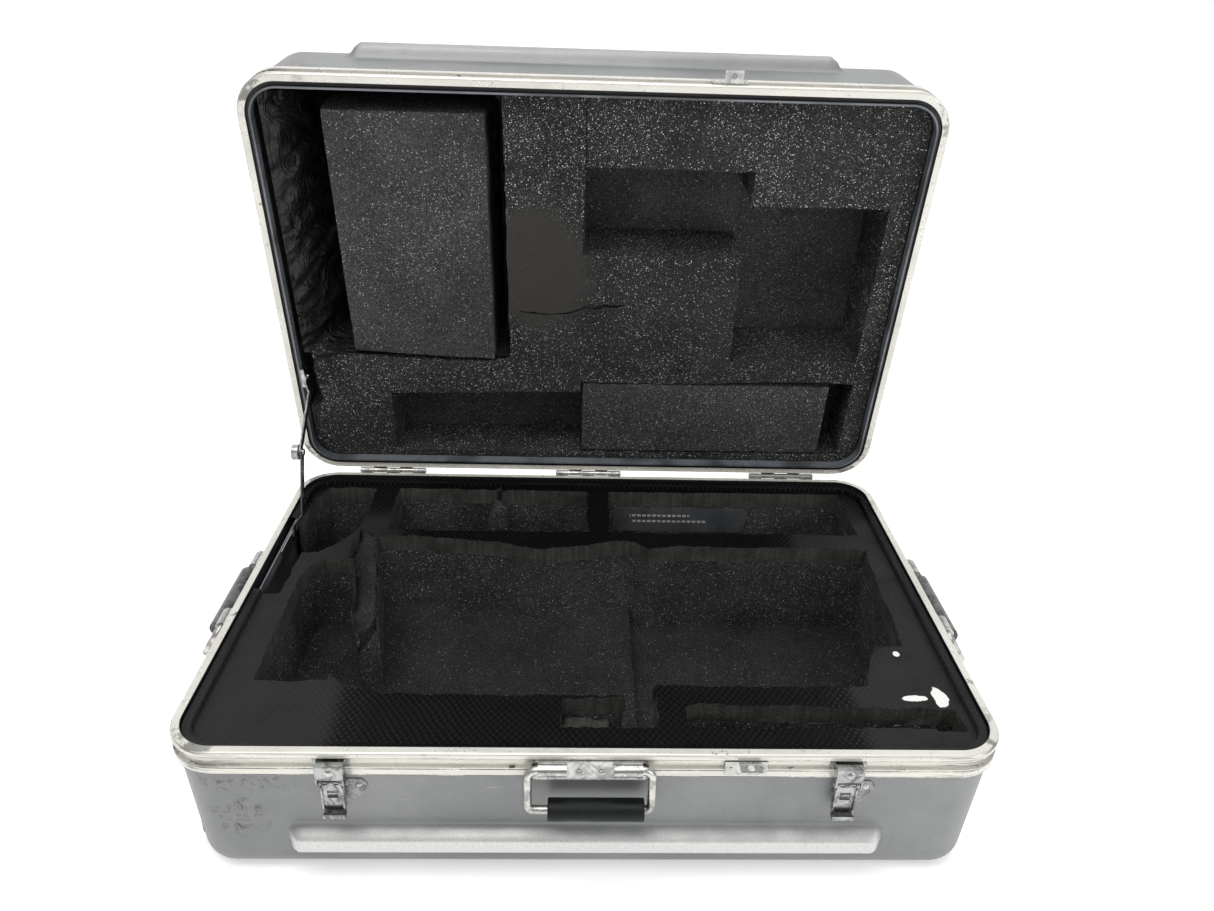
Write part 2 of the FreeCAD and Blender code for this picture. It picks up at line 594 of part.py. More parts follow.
def side_plate(side, x):
    """Thin triangular plate riveted to the wall behind the latch and to its right."""
    body = doc.addObject("PartDesign::Body", "side_plate_" + side)
    outline = sketch_on(body, body.Name + "_outline", "XZ_Plane", 0.02)
    corners = (Vec(-7.0, -16.0, 0), Vec(25.0, -16.0, 0), Vec(30.5, -24.0, 0), Vec(18.5, -45.0, 0),
               Vec(-7.0, -45.0, 0))
    for start, end in zip(corners, corners[1:] + corners[:1]):
        outline.addGeometry(Part.LineSegment(start, end), False)
    pad = body.newObject("PartDesign::Pad", body.Name + "_pad")
    pad.Profile = outline
    pad.Length = 1.0
    doc.recompute()
    soft = body.newObject("PartDesign::Fillet", body.Name + "_soft")
    soft.Base = (pad, edge_names(pad.Shape, lambda e: e.BoundBox.YLength > 0.9 and e.BoundBox.XMin > 15.0))
    soft.Radius = 3.4
    body.Tip = soft
    keep(body, "latch_plate_" + side, on_front_wall(x))


latch("left", LATCH_X[0])
latch("right", LATCH_X[1])
side_plate("left", LATCH_X[0])
side_plate("right", LATCH_X[1])

# ---------------------------------------------------------------- padlock eyes
EYE_X = 144.5


def padlock_eye(name, rim, way):
    ends = sorted((rim + way * 6.3, rim + way * 22.0))
    tab_ends = sorted((rim + way * 6.3, rim + way * 8.3))
    plate = box(name + "_plate", (EYE_X - 22.5, -261.4, ends[0]), (EYE_X + 16.5, -260.0, ends[1]))
    tab = box(name + "_tab", (EYE_X - 10.0, -274.0, tab_ends[0]), (EYE_X + 10.0, -260.4, tab_ends[1]))
    hole = cylinder(name + "_hole", 3.6, 6.0, (EYE_X, -268.2, tab_ends[0] - 2.0), "z")
    return cut(name, fuse(name + "_solid", [plate, tab]), hole)


keep(padlock_eye("base_eye", D["rim_z"], -1), "padlock_eye_base")
keep(padlock_eye("lid_eye", LID_RIM, 1), "padlock_eye_lid", OPENED)


# ---------------------------------------------------------------- rivets
def rivet(name, radius, at, way):
    """Domed head on a rim face; way is the outward direction along Y or X."""
    dome = doc.addObject("Part::Sphere", name + "_dome")
    rise = 0.45 * radius
    ball = (radius * radius + rise * rise) / (2 * rise)
    dome.Radius = ball
    dome.Placement.Base = at - way * (ball - rise)
    disc = cylinder(name + "_disc", radius, rise + 0.6, at if way.y + way.x > 0 else at + way * (rise + 0.6),
                    "y" if abs(way.y) > 0.5 else "x")
    head = doc.addObject("Part::Common", name)
    head.Base = dome
    head.Tool = disc
    return head


base_heads = []
lid_heads = []
for number, x_centre in enumerate((-D["hinge_x"], 0.0, D["hinge_x"])):
    for step, offset in enumerate((-33.0, -11.0, 11.0, 33.0)):
        tag = "hr%d%d" % (number, step)
        base_heads.append(rivet(tag + "b", 3.0, Vec(x_centre + offset, 261.8, 151.0), Vec(0, 1, 0)))
        lid_heads.append(rivet(tag + "l", 3.0, Vec(x_centre + offset, 261.8, 180.0), Vec(0, 1, 0)))
for number, x in enumerate((EYE_X - 17.0, EYE_X + 12.0)):
    base_heads.append(rivet("er%db" % number, 2.2, Vec(x, -261.4, 151.0), Vec(0, -1, 0)))
    lid_heads.append(rivet("er%dl" % number, 2.2, Vec(x, -261.4, 180.0), Vec(0, -1, 0)))
for number, x in enumerate(LATCH_X):
    base_heads.append(rivet("lr%d" % number, 4.2, Vec(x, -269.4, 150.0), Vec(0, -1, 0)))
    plate_rivet = group("pr%d_set" % number, [rivet("pr%d" % number, 3.2, Vec(21.2, -1.04, -24.5), Vec(0, -1, 0))])
    plate_rivet.Placement = on_front_wall(x)
    base_heads.append(plate_rivet)
for number, x in enumerate((-10.0, 10.0)):
    base_heads.append(rivet("fr%d" % number, 2.8, Vec(x, -262.2, 148.0), Vec(0, -1, 0)))
    base_heads.append(rivet("llr%d" % number, 2.8, Vec(-389.7, x, 148.0), Vec(-1, 0, 0)))
    base_heads.append(rivet("rrr%d" % number, 2.8, Vec(389.7, x, 148.0), Vec(1, 0, 0)))
keep(group("base_rivet_set", base_heads), "base_rivets")
keep(group("lid_rivet_set", lid_heads), "lid_rivets", OPENED)

# ---------------------------------------------------------------- folding lid stay
STAY_R = 148.6
LINK_W = 10.0
LINK_T = 2.0
UPPER_LEN = 108.0
LOWER_LEN = 104.0
FOOT = Vec(0, 117.0, 152.0)
ANCHOR_CLOSED = Vec(0, HINGE.y - STAY_R, HINGE.z + 3.0)
ANCHOR = OPENED.multVec(ANCHOR_CLOSED)


def elbow(anchor, foot):
    """Elbow on the front side of the line between the two end pivots."""
    span = anchor - foot
    reach = span.Length
    along = (reach ** 2 + LOWER_LEN ** 2 - UPPER_LEN ** 2) / (2 * reach)
    off = math.sqrt(LOWER_LEN ** 2 - along ** 2)
    unit = span * (1 / reach)
    front = Vec(0, -unit.z, unit.y)
    if front.y > 0:
        front = front * -1
    return foot + unit * along + front * off


ELBOW = elbow(ANCHOR, FOOT)


def link(name, length, x_main, x_end, slots, end_hole, main_hole):
    """Flat bar along +Y from its joggled end at the origin to the elbow at y = length."""
    parts = [
        cylinder(name + "_end", LINK_W / 2, LINK_T, (x_end, 0.0, 0.0)),
        box(name + "_foot", (x_end, 0.0, -LINK_W / 2), (x_end + LINK_T, 14.0, LINK_W / 2)),
        box(name + "_main", (x_main, 24.0, -LINK_W / 2), (x_main + LINK_T, length, LINK_W / 2)),
        cylinder(name + "_tip", LINK_W / 2, LINK_T, (x_main, length, 0.0)),
    ]
    body = doc.addObject("PartDesign::Body", name + "_jog")
    profile = sketch_on(body, name + "_jog_profile", "XY_Plane", -LINK_W / 2)
    corners = (Vec(x_end, 12.0, 0), Vec(x_end + LINK_T, 12.0, 0), Vec(x_main + LINK_T, 26.0, 0),
               Vec(x_main, 26.0, 0))
    for start, end in zip(corners, corners[1:] + corners[:1]):
        profile.addGeometry(Part.LineSegment(start, end), False)
    pad = body.newObject("PartDesign::Pad", name + "_jog_pad")
    pad.Profile = profile
    pad.Length = LINK_W
    body.Tip = pad
    parts.append(body)
    tools = []
    if end_hole:
        tools.append(cylinder(name + "_end_hole", end_hole, 8.0, (x_end - 3.0, 0.0, 0.0)))
    if main_hole:
        tools.append(cylinder(name + "_tip_hole", main_hole, 8.0, (x_main - 3.0, length, 0.0)))
    for number in range(slots):
        start = length - 16.0 - number * 11.0
        tools.append(box("%s_slot%d" % (name, number), (x_main - 2.0, start - 7.0, -2.2),
                         (x_main + 4.0, start, 2.2)))
    solid = fuse(name + "_solid", parts)
    return cut(name, solid, fuse(name + "_holes", tools)) if len(tools) > 1 else cut(name, solid, tools[0])


def aim(start, end):
    run = end - start
    return FreeCAD.Placement(Vec(0, start.y, start.z),
                             FreeCAD.Rotation(Vec(1, 0, 0), math.degrees(math.atan2(run.z, run.y))))


UPPER_X, LOWER_X = -360.5, -358.2
keep(link("stay_upper", UPPER_LEN, UPPER_X, -366.9, 0, 2.0 + D["fit"], 2.0), "stay_upper_link",
     aim(ANCHOR, ELBOW))
keep(link("stay_lower", LOWER_LEN, LOWER_X, -368.6, 4, 0, 2.0 + D["fit"]), "stay_lower_link",
     aim(FOOT, ELBOW))

stud = cylinder("stud_shank", 2.0, 11.0, (-367.0, 0.0, 0.0))
stud_head = cylinder("stud_head", 4.0, 1.4, (-356.0, 0.0, 0.0))
keep(fuse("stud_set", [stud, stud_head]), "stay_stud",
     FreeCAD.Placement(Vec(0, ELBOW.y, ELBOW.z), FreeCAD.Rotation()))


def knob():
    core = cylinder("knob_core", 9.6, 7.6, (-368.4, 0.0, 0.0))
    flutes = [cylinder("knob_bore", "2.0 + dims.fit", 10.0, (-369.0, 0.0, 0.0))]
    for number in range(18):
        angle = 2 * math.pi * number / 18
        flutes.append(cylinder("knob_flute%d" % number, 0.9, 8.0,
                               (-369.0, 9.9 * math.cos(angle), 9.9 * math.sin(angle))))
    return cut("knob_cut", core, fuse("knob_flutes", flutes))


keep(knob(), "stay_thumb_nut", FreeCAD.Placement(Vec(0, ELBOW.y, ELBOW.z), FreeCAD.Rotation()))

anchor_plate = box("anchor_plate", (-372.05, -13.0, -5.6), (-367.3, 13.0, 7.4))
anchor_pin = cylinder("anchor_pin", 2.0, 4.2, (-368.0, 0.0, 0.0))
anchor_head = cylinder("anchor_head", 3.8, 1.2, (-364.6, 0.0, 0.0))
keep(fuse("anchor_set", [anchor_plate, anchor_pin, anchor_head]), "stay_bracket_lid",
     OPENED.multiply(FreeCAD.Placement(ANCHOR_CLOSED, FreeCAD.Rotation())))
keep(box("foot_plate", (-370.5, 70.0, 138.0), (-369.0, 128.0, 158.0)), "stay_bracket_base")

# ---------------------------------------------------------------- checks and export
doc.recompute()
for thing in doc.Objects:
    if "Invalid" in thing.State or "Error" in thing.State:
        raise RuntimeError("bad object " + thing.Name)
for thing in NODES:
    shape = thing.Shape
    if shape.isNull() or not shape.isValid() or not shape.Solids:
        raise RuntimeError("bad shape " + thing.Label)
    shape.exportStep(os.path.join("parts", thing.Label + ".step"))
    bounds = shape.BoundBox
    print("%-22s solids %2d vol %9.1f  x %7.1f %7.1f  y %7.1f %7.1f  z %7.1f %7.1f" % (
        thing.Label, len(shape.Solids), shape.Volume / 1000, bounds.XMin, bounds.XMax,
        bounds.YMin, bounds.YMax, bounds.ZMin, bounds.ZMax))
print("anchor", ANCHOR, "elbow", ELBOW)
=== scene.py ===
import bpy
import math
from mathutils import Matrix, Vector, noise
from mathutils.geometry import delaunay_2d_cdt


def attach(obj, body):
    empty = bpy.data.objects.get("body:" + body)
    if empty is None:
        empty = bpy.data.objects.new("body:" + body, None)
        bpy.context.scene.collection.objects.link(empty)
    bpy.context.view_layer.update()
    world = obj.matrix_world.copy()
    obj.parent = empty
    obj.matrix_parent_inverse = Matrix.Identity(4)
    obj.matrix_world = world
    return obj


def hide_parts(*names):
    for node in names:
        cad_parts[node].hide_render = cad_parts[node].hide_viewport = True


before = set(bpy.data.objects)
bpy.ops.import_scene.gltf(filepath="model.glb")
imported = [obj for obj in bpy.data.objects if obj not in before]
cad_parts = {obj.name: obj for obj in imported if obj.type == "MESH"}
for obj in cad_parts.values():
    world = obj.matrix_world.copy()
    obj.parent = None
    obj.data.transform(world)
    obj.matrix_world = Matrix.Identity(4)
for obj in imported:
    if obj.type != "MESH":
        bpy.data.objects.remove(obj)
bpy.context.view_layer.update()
MM = 0.001


HINGE = Vector((0.0, 264.5, 166.0))
LID_TURN = (Matrix.Translation(HINGE) @ Matrix.Rotation(math.radians(-80.8), 4, "X")
            @ Matrix.Translation(-HINGE))
LID_CLOSE = (Matrix.Translation(HINGE * MM) @ Matrix.Rotation(math.radians(80.8), 4, "X")
             @ Matrix.Translation(-HINGE * MM))


# ---------------------------------------------------------------- camera, lights and world
def view_frame(yaw, pitch, roll):
    flat = Vector((-math.sin(yaw), math.cos(yaw), 0.0))
    side = Vector((math.cos(yaw), math.sin(yaw), 0.0))
    ahead = flat * math.cos(pitch) - Vector((0, 0, 1)) * math.sin(pitch)
    rise = flat * math.sin(pitch) + Vector((0, 0, 1)) * math.cos(pitch)
    right = side * math.cos(roll) + rise * math.sin(roll)
    up = rise * math.cos(roll) - side * math.sin(roll)
    return right, up, -ahead


camera_data = bpy.data.cameras.new("camera")
camera = bpy.data.objects.new("camera", camera_data)
bpy.context.scene.collection.objects.link(camera)
camera_data.sensor_width = 36.0
camera_data.lens = 27.53
camera_data.clip_end = 50.0
axes = view_frame(-0.0374, 0.4811, 0.0337)
camera.matrix_world = Matrix((
    (axes[0].x, axes[1].x, axes[2].x, -0.0173),
    (axes[0].y, axes[1].y, axes[2].y, -0.873),
    (axes[0].z, axes[1].z, axes[2].z, 0.7885),
    (0, 0, 0, 1)))
bpy.context.scene.camera = camera
bpy.context.scene.view_settings.view_transform = "Standard"


def area_light(name, place, target, size, power, colour=(1, 1, 1)):
    data = bpy.data.lights.new(name, "AREA")
    data.shape = "RECTANGLE"
    data.size, data.size_y = size
    data.energy = power
    data.color = colour
    light = bpy.data.objects.new(name, data)
    bpy.context.scene.collection.objects.link(light)
    light.location = place
    light.rotation_euler = (Vector(target) - Vector(place)).to_track_quat("-Z", "Y").to_euler()
    return light


area_light("key", (-0.5, -0.9, 2.5), (0, 0.05, 0.1), (1.9, 1.4), 30, (1.0, 0.99, 0.97))
area_light("over", (0.2, 0.7, 2.6), (0, 0.1, 0.2), (2.4, 1.6), 21, (0.97, 0.99, 1.0))
area_light("fill", (2.1, -1.5, 1.2), (0, 0, 0.1), (1.4, 1.4), 15, (0.97, 0.99, 1.0))

world = bpy.data.worlds.new("studio")
bpy.context.scene.world = world
world.use_nodes = True
sky = world.node_tree
sky.nodes.clear()


def add(tree, kind, inputs=(), **props):
    node = tree.nodes.new(kind)
    for key, value in props.items():
        setattr(node, key, value)
    for key, value in dict(inputs).items():
        if isinstance(value, bpy.types.NodeSocket):
            tree.links.new(value, node.inputs[key])
        else:
            node.inputs[key].default_value = value
    return node


way = add(sky, "ShaderNodeTexCoord").outputs["Generated"]
height = add(sky, "ShaderNodeSeparateXYZ", {0: way}).outputs["Z"]
tone = add(sky, "ShaderNodeMapRange", {0: height, 1: -0.2, 2: 0.9, 3: 0.34, 4: 0.50}).outputs[0]
glow = add(sky, "ShaderNodeBackground", {"Color": (1, 1, 1, 1), "Strength": tone})
add(sky, "ShaderNodeOutputWorld", {0: glow.outputs[0]})


# ---------------------------------------------------------------- materials
class Paint:
    """A Principled material with short calls for the usual procedural nodes."""

    def __init__(self, name, roughness=0.5, metallic=0.0, closed=False, **uniform):
        self.material = bpy.data.materials.new(name)
        self.material.use_nodes = True
        self.tree = self.material.node_tree
        self.tree.nodes.clear()
        self.shader = add(self.tree, "ShaderNodeBsdfPrincipled",
                          {"Roughness": roughness, "Metallic": metallic})
        for key, value in uniform.items():
            self.shader.inputs[key.replace("_", " ")].default_value = value
        add(self.tree, "ShaderNodeOutputMaterial", {0: self.shader.outputs[0]})
        self.place = add(self.tree, "ShaderNodeTexCoord").outputs["Object"]
        if closed:
            shift = LID_CLOSE @ Vector((0, 0, 0))
            self.place = add(self.tree, "ShaderNodeMapping", {
                0: self.place, 1: shift, 2: (math.radians(80.8), 0, 0)}).outputs[0]
        self.normal = None
        parts = add(self.tree, "ShaderNodeSeparateXYZ", {0: self.place})
        self.x, self.y, self.z = parts.outputs

    def math(self, operation, a, b=0.0, c=0.0, clamp=False):
        node = add(self.tree, "ShaderNodeMath", {0: a, 1: b, 2: c}, operation=operation)
        node.use_clamp = clamp
        return node.outputs[0]

    def stretch(self, scale, turn=(0, 0, 0)):
        return add(self.tree, "ShaderNodeMapping", {0: self.place, 3: scale, 2: turn}).outputs[0]

    def noise(self, scale, detail=2.0, rough=0.5, place=None, distortion=0.0):
        return add(self.tree, "ShaderNodeTexNoise", {
            "Vector": place or self.place, "Scale": scale, "Detail": detail, "Roughness": rough,
            "Distortion": distortion}).outputs[0]

    def cells(self, scale, feature="F1", place=None):
        return add(self.tree, "ShaderNodeTexVoronoi", {"Vector": place or self.place, "Scale": scale},
                   feature=feature).outputs["Distance"]

    def specks(self, scale, share, size=0.42):
        """Scattered round spots: share is the part of the cells that hold one."""
        cell = add(self.tree, "ShaderNodeTexVoronoi", {"Vector": self.place, "Scale": scale}, feature="F1")
        tint = add(self.tree, "ShaderNodeSeparateColor", {0: cell.outputs["Color"]})
        chosen = self.math("LESS_THAN", tint.outputs[0], share)
        spot = self.ramp(cell.outputs["Distance"], size, size * 0.45)
        level = self.math("MULTIPLY_ADD", tint.outputs[1], 0.75, 0.25)
        return self.math("MULTIPLY", self.math("MULTIPLY", chosen, spot), level)

    def grains(self, scale):
        cell = add(self.tree, "ShaderNodeTexVoronoi", {"Vector": self.place, "Scale": scale}, feature="F1")
        return add(self.tree, "ShaderNodeSeparateColor", {0: cell.outputs["Color"]}).outputs[2]

    def ramp(self, value, low, high, out_low=0.0, out_high=1.0, smooth=True):
        node = add(self.tree, "ShaderNodeMapRange", {0: value, 1: low, 2: high, 3: out_low, 4: out_high})
        node.interpolation_type = "SMOOTHSTEP" if smooth else "LINEAR"
        return node.outputs[0]

    def mix(self, factor, a, b):
        node = add(self.tree, "ShaderNodeMix", data_type="RGBA")
        for index, value in ((0, factor), (6, a), (7, b)):
            if isinstance(value, bpy.types.NodeSocket):
                self.tree.links.new(value, node.inputs[index])
            else:
                node.inputs[index].default_value = value if index == 0 else (*value, 1.0)
        return node.outputs[2]

    def reach(self):
        """Distance outwards from the lip's rounded outline, negative inside it."""
        out_x = self.math("MAXIMUM", self.math("SUBTRACT", self.math("ABSOLUTE", self.x), 0.3405), 0.0)
        out_y = self.math("MAXIMUM", self.math("SUBTRACT", self.math("ABSOLUTE", self.y), 0.213), 0.0)
        square = self.math("MULTIPLY_ADD", out_x, out_x, self.math("MULTIPLY", out_y, out_y))
        return self.math("SUBTRACT", self.math("SQRT", square), 0.038)

    def near(self, centre, radii):
        """1 at centre, falling to 0 at the given radii."""
        gap = add(self.tree, "ShaderNodeVectorMath", {0: self.place, 1: centre}, operation="SUBTRACT")
        share = add(self.tree, "ShaderNodeVectorMath", {0: gap.outputs[0], 1: radii}, operation="DIVIDE")
        far = add(self.tree, "ShaderNodeVectorMath", {0: share.outputs[0]}, operation="LENGTH")
        return self.ramp(far.outputs["Value"], 1.0, 0.35)

    def bump(self, height, depth, strength=1.0):
        inputs = {"Height": height, "Distance": depth, "Strength": strength}
        if self.normal:
            inputs["Normal"] = self.normal
        self.normal = add(self.tree, "ShaderNodeBump", inputs).outputs[0]

    def finish(self, colour, roughness=None, metallic=None):
        self.tree.links.new(colour, self.shader.inputs["Base Color"])
        if roughness:
            self.tree.links.new(roughness, self.shader.inputs["Roughness"])
        if metallic:
            self.tree.links.new(metallic, self.shader.inputs["Metallic"])
        if self.normal:
            self.tree.links.new(self.normal, self.shader.inputs["Normal"])
        return self.material


def shell_plastic(closed):
    """Silver moulded plastic, scuffed at the corners, with a painted highlight along the ribs."""
    p = Paint("silver_plastic_lid" if closed else "silver_plastic_base", 0.42, 0.5, closed)
    cloud = p.noise(7.0, 5.0, 0.6)
    grain = p.noise(1400.0, 2.0, 0.6)
    colour = p.mix(p.ramp(cloud, 0.35, 0.68), (0.215, 0.22, 0.222), (0.29, 0.295, 0.295))
    middle = 0.280 if closed else 0.0500
    away = p.math("ABSOLUTE", p.math("SUBTRACT", p.z, middle))
    wavy = p.math("MULTIPLY", p.math("SUBTRACT", p.noise(30.0, 4.0), 0.5), 0.008)
    # painted highlight: the ribs' raised band is lightened in the colour, standing in for the light it catches
    rib_highlight = p.ramp(p.math("ADD", away, wavy), 0.0190, 0.0070)
    rib_highlight = p.math("MULTIPLY", rib_highlight, p.ramp(p.math("ABSOLUTE", p.x), 0.284, 0.274))
    rib_highlight = p.math("MULTIPLY", rib_highlight, p.ramp(p.math("ABSOLUTE", p.y), 0.2515, 0.2585))
    colour = p.mix(p.math("MULTIPLY", rib_highlight, 0.16 if closed else 0.80), colour, (0.86, 0.87, 0.85))
    colour = p.mix(p.ramp(grain, 0.35, 0.7, 0.0, 0.35), colour, (0.13, 0.135, 0.14))
    streak = p.noise(1.0, 4.0, 0.65, p.stretch((14.0, 14.0, 260.0), (0.0, 0.5, 0.0)))
    colour = p.mix(p.ramp(streak, 0.68, 0.74, 0.0, 0.3), colour, (0.50, 0.50, 0.49))
    wear = p.noise(75.0, 9.0, 0.8, None, 0.4)
    if closed:
        corner = p.near((-0.34, -0.25, 0.21), (0.05, 0.05, 0.03))
    else:
        corner = p.math("MAXIMUM", p.near((-0.325, -0.255, 0.080), (0.035, 0.05, 0.036)),
                        p.math("MULTIPLY", p.near((-0.315, -0.255, 0.125), (0.06, 0.05, 0.018)), 0.8))
        corner = p.math("MAXIMUM", corner, p.near((0.355, -0.24, 0.022), (0.04, 0.05, 0.012)))
    scuff = p.math("MULTIPLY", p.ramp(wear, 0.50, 0.60), corner)
    stray = p.math("MULTIPLY", p.ramp(wear, 0.70, 0.745), p.ramp(cloud, 0.45, 0.6))
    colour = p.mix(p.math("MULTIPLY", p.math("MAXIMUM", scuff, stray), 0.8), colour, (0.022, 0.021, 0.020))
    p.bump(grain, 0.00022, 0.5)
    p.bump(p.cells(420.0), 0.00018, 0.35)
    return p.finish(colour, p.ramp(cloud, 0.3, 0.75, 0.36, 0.50))


def rim_aluminium(closed):
    """Cream-white worn rim with grime marks, painted shade in the steps between bead, band and skirt, and inside the
    outline a painted shaded channel with a painted highlight line.
    """
    p = Paint("worn_rim_lid" if closed else "worn_rim_base", 0.3, 0.55, closed)
    along = p.noise(1.0, 5.0, 0.6, p.stretch((9.0, 9.0, 420.0)))
    fine = p.noise(1.0, 4.0, 0.7, p.stretch((40.0, 40.0, 2400.0)))
    blotch = p.noise(38.0, 7.0, 0.7, None, 0.4)
    colour = p.mix(p.ramp(along, 0.40, 0.72), (0.73, 0.715, 0.66), (0.61, 0.595, 0.55))
    colour = p.mix(p.ramp(fine, 0.60, 0.72, 0.0, 0.4), colour, (0.34, 0.325, 0.30))
    marks = p.noise(1.0, 6.0, 0.72, p.stretch((26.0, 26.0, 620.0)))
    dark = p.math("MULTIPLY", p.ramp(marks, 0.62, 0.66), p.ramp(blotch, 0.44, 0.56))
    ends = p.ramp(p.math("ABSOLUTE", p.x), 0.30, 0.36, 0.0, 1.0)
    ends = p.math("MULTIPLY", ends, p.ramp(p.math("ABSOLUTE", p.y), 0.17, 0.235))
    corner = p.math("MULTIPLY", p.ramp(marks, 0.50, 0.58), p.math("MULTIPLY", ends, 0.7))
    steps = (0.1718, 0.1838, 0.1910) if closed else (0.1588, 0.1468, 0.1395)
    # painted shade: thin dark lines at the steps between bead, band and skirt
    groove = 0.0
    for level, width in zip(steps, (0.0009, 0.0008, 0.0006)):
        away = p.math("ABSOLUTE", p.math("SUBTRACT", p.z, level))
        groove = p.math("MAXIMUM", groove, p.ramp(away, width, width * 0.35))
    groove = p.math("MULTIPLY", groove, p.ramp(p.noise(24.0, 5.0, 0.7), 0.36, 0.52, 0.25, 0.95))
    # grime marks and the painted step shade darken the colour together and also lower the metallic
    dirt_and_shade = p.math("MAXIMUM", p.math("MAXIMUM", dark, corner), groove)
    colour = p.mix(dirt_and_shade, colour, (0.035, 0.032, 0.03))
    reach = p.reach()
    # painted shade on the channel inside the outline, with a painted highlight line along the inner lip's top
    inside = p.ramp(reach, 0.0007, 0.0003)
    lip = p.ramp(p.math("ABSOLUTE", p.math("ADD", reach, 0.0062)), 0.0022, 0.0016)
    lip = p.math("MULTIPLY", lip, p.ramp(p.noise(16.0, 4.0), 0.35, 0.6, 0.35, 1.0))
    channel = p.mix(lip, (0.012, 0.012, 0.014), (0.17, 0.185, 0.205))
    colour = p.mix(inside, colour, channel)
    # the painted shade inside the outline also lowers the metallic
    dirt_and_shade = p.math("MAXIMUM", dirt_and_shade, inside)
    p.bump(fine, 0.00008, 0.6)
    p.bump(blotch, 0.00025, 0.25)
    return p.finish(colour, p.ramp(blotch, 0.35, 0.7, 0.26, 0.40), p.ramp(dirt_and_shade, 0.0, 1.0, 0.45, 0.1))


def plated_steel(name, light, dark, rough, brushed=(300.0, 300.0, 300.0)):
    p = Paint(name, rough, 1.0)
    patch = p.noise(95.0, 5.0, 0.65, None, 0.8)
    line = p.noise(1.0, 3.0, 0.6, p.stretch(brushed))
    colour = p.mix(p.ramp(patch, 0.38, 0.66), light, dark)
    pit = p.noise(700.0, 3.0, 0.7)
    colour = p.mix(p.ramp(pit, 0.62, 0.70, 0.0, 0.55), colour, (0.10, 0.095, 0.085))
    p.bump(line, 0.00006, 0.5)
    p.bump(patch, 0.0003, 0.3)
    return p.finish(colour, p.ramp(patch, 0.3, 0.7, rough * 0.75, rough * 1.45))


def foam(name, dark, light, share, glow=0.5, brown=None, closed=False):
    """Cut open-cell foam: dark pores with scattered pale cell walls that catch the light."""
    p = Paint(name, 0.92, 0.0, closed, Specular_IOR_Level=0.15)
    cloud = p.noise(14.0, 4.0, 0.6)
    pores = p.cells(560.0)
    colour = p.mix(p.ramp(cloud, 0.3, 0.7), dark, light)
    colour = p.mix(p.ramp(p.grains(900.0), 0.1, 0.9, 0.0, 0.62, False), colour, tuple(v * 0.15 for v in dark))
    colour = p.mix(p.ramp(p.grains(700.0), 0.72, 0.95, 0.0, 0.4), colour, tuple(v * 1.9 for v in light))
    amount = p.math("MULTIPLY", share, p.ramp(p.noise(9.0, 3.0, 0.6), 0.32, 0.68, 0.45, 1.35))
    lit = p.math("MAXIMUM", p.specks(520.0, amount, 0.40), p.math("MULTIPLY", p.specks(900.0, amount), 0.7))
    if brown:
        centre, radii = brown
        wander = p.math("MULTIPLY", p.math("SUBTRACT", p.noise(20.0, 5.0), 0.5), 0.9)
        smooth = p.ramp(p.math("ADD", p.near(centre, radii), wander), 0.1, 0.9)
        lit = p.math("MULTIPLY", lit, p.ramp(smooth, 0.0, 1.0, 1.0, 0.05))
        colour = p.mix(p.math("MULTIPLY", smooth, 0.9), colour, (0.050, 0.0472, 0.0445))
    colour = p.mix(lit, colour, (glow, glow, glow * 0.98))
    p.bump(pores, 0.0009, 0.5)
    p.bump(cloud, 0.003, 0.3)
    return p.finish(colour)


def cut_sheet():
    p = Paint("cut_sheet_edge", 0.85, 0.0, Specular_IOR_Level=0.25)
    upright = p.noise(1.0, 4.0, 0.6, p.stretch((240.0, 240.0, 16.0)))
    cloud = p.noise(28.0, 5.0, 0.65)
    pit = p.cells(260.0)
    colour = p.mix(p.ramp(upright, 0.35, 0.7), (0.040, 0.0388, 0.0362), (0.066, 0.0635, 0.0585))
    colour = p.mix(p.ramp(cloud, 0.45, 0.75, 0.0, 0.7), colour, (0.020, 0.0195, 0.0185))
    p.bump(upright, 0.0010, 0.5)
    p.bump(pit, 0.0012, 0.45)
    return p.finish(colour)


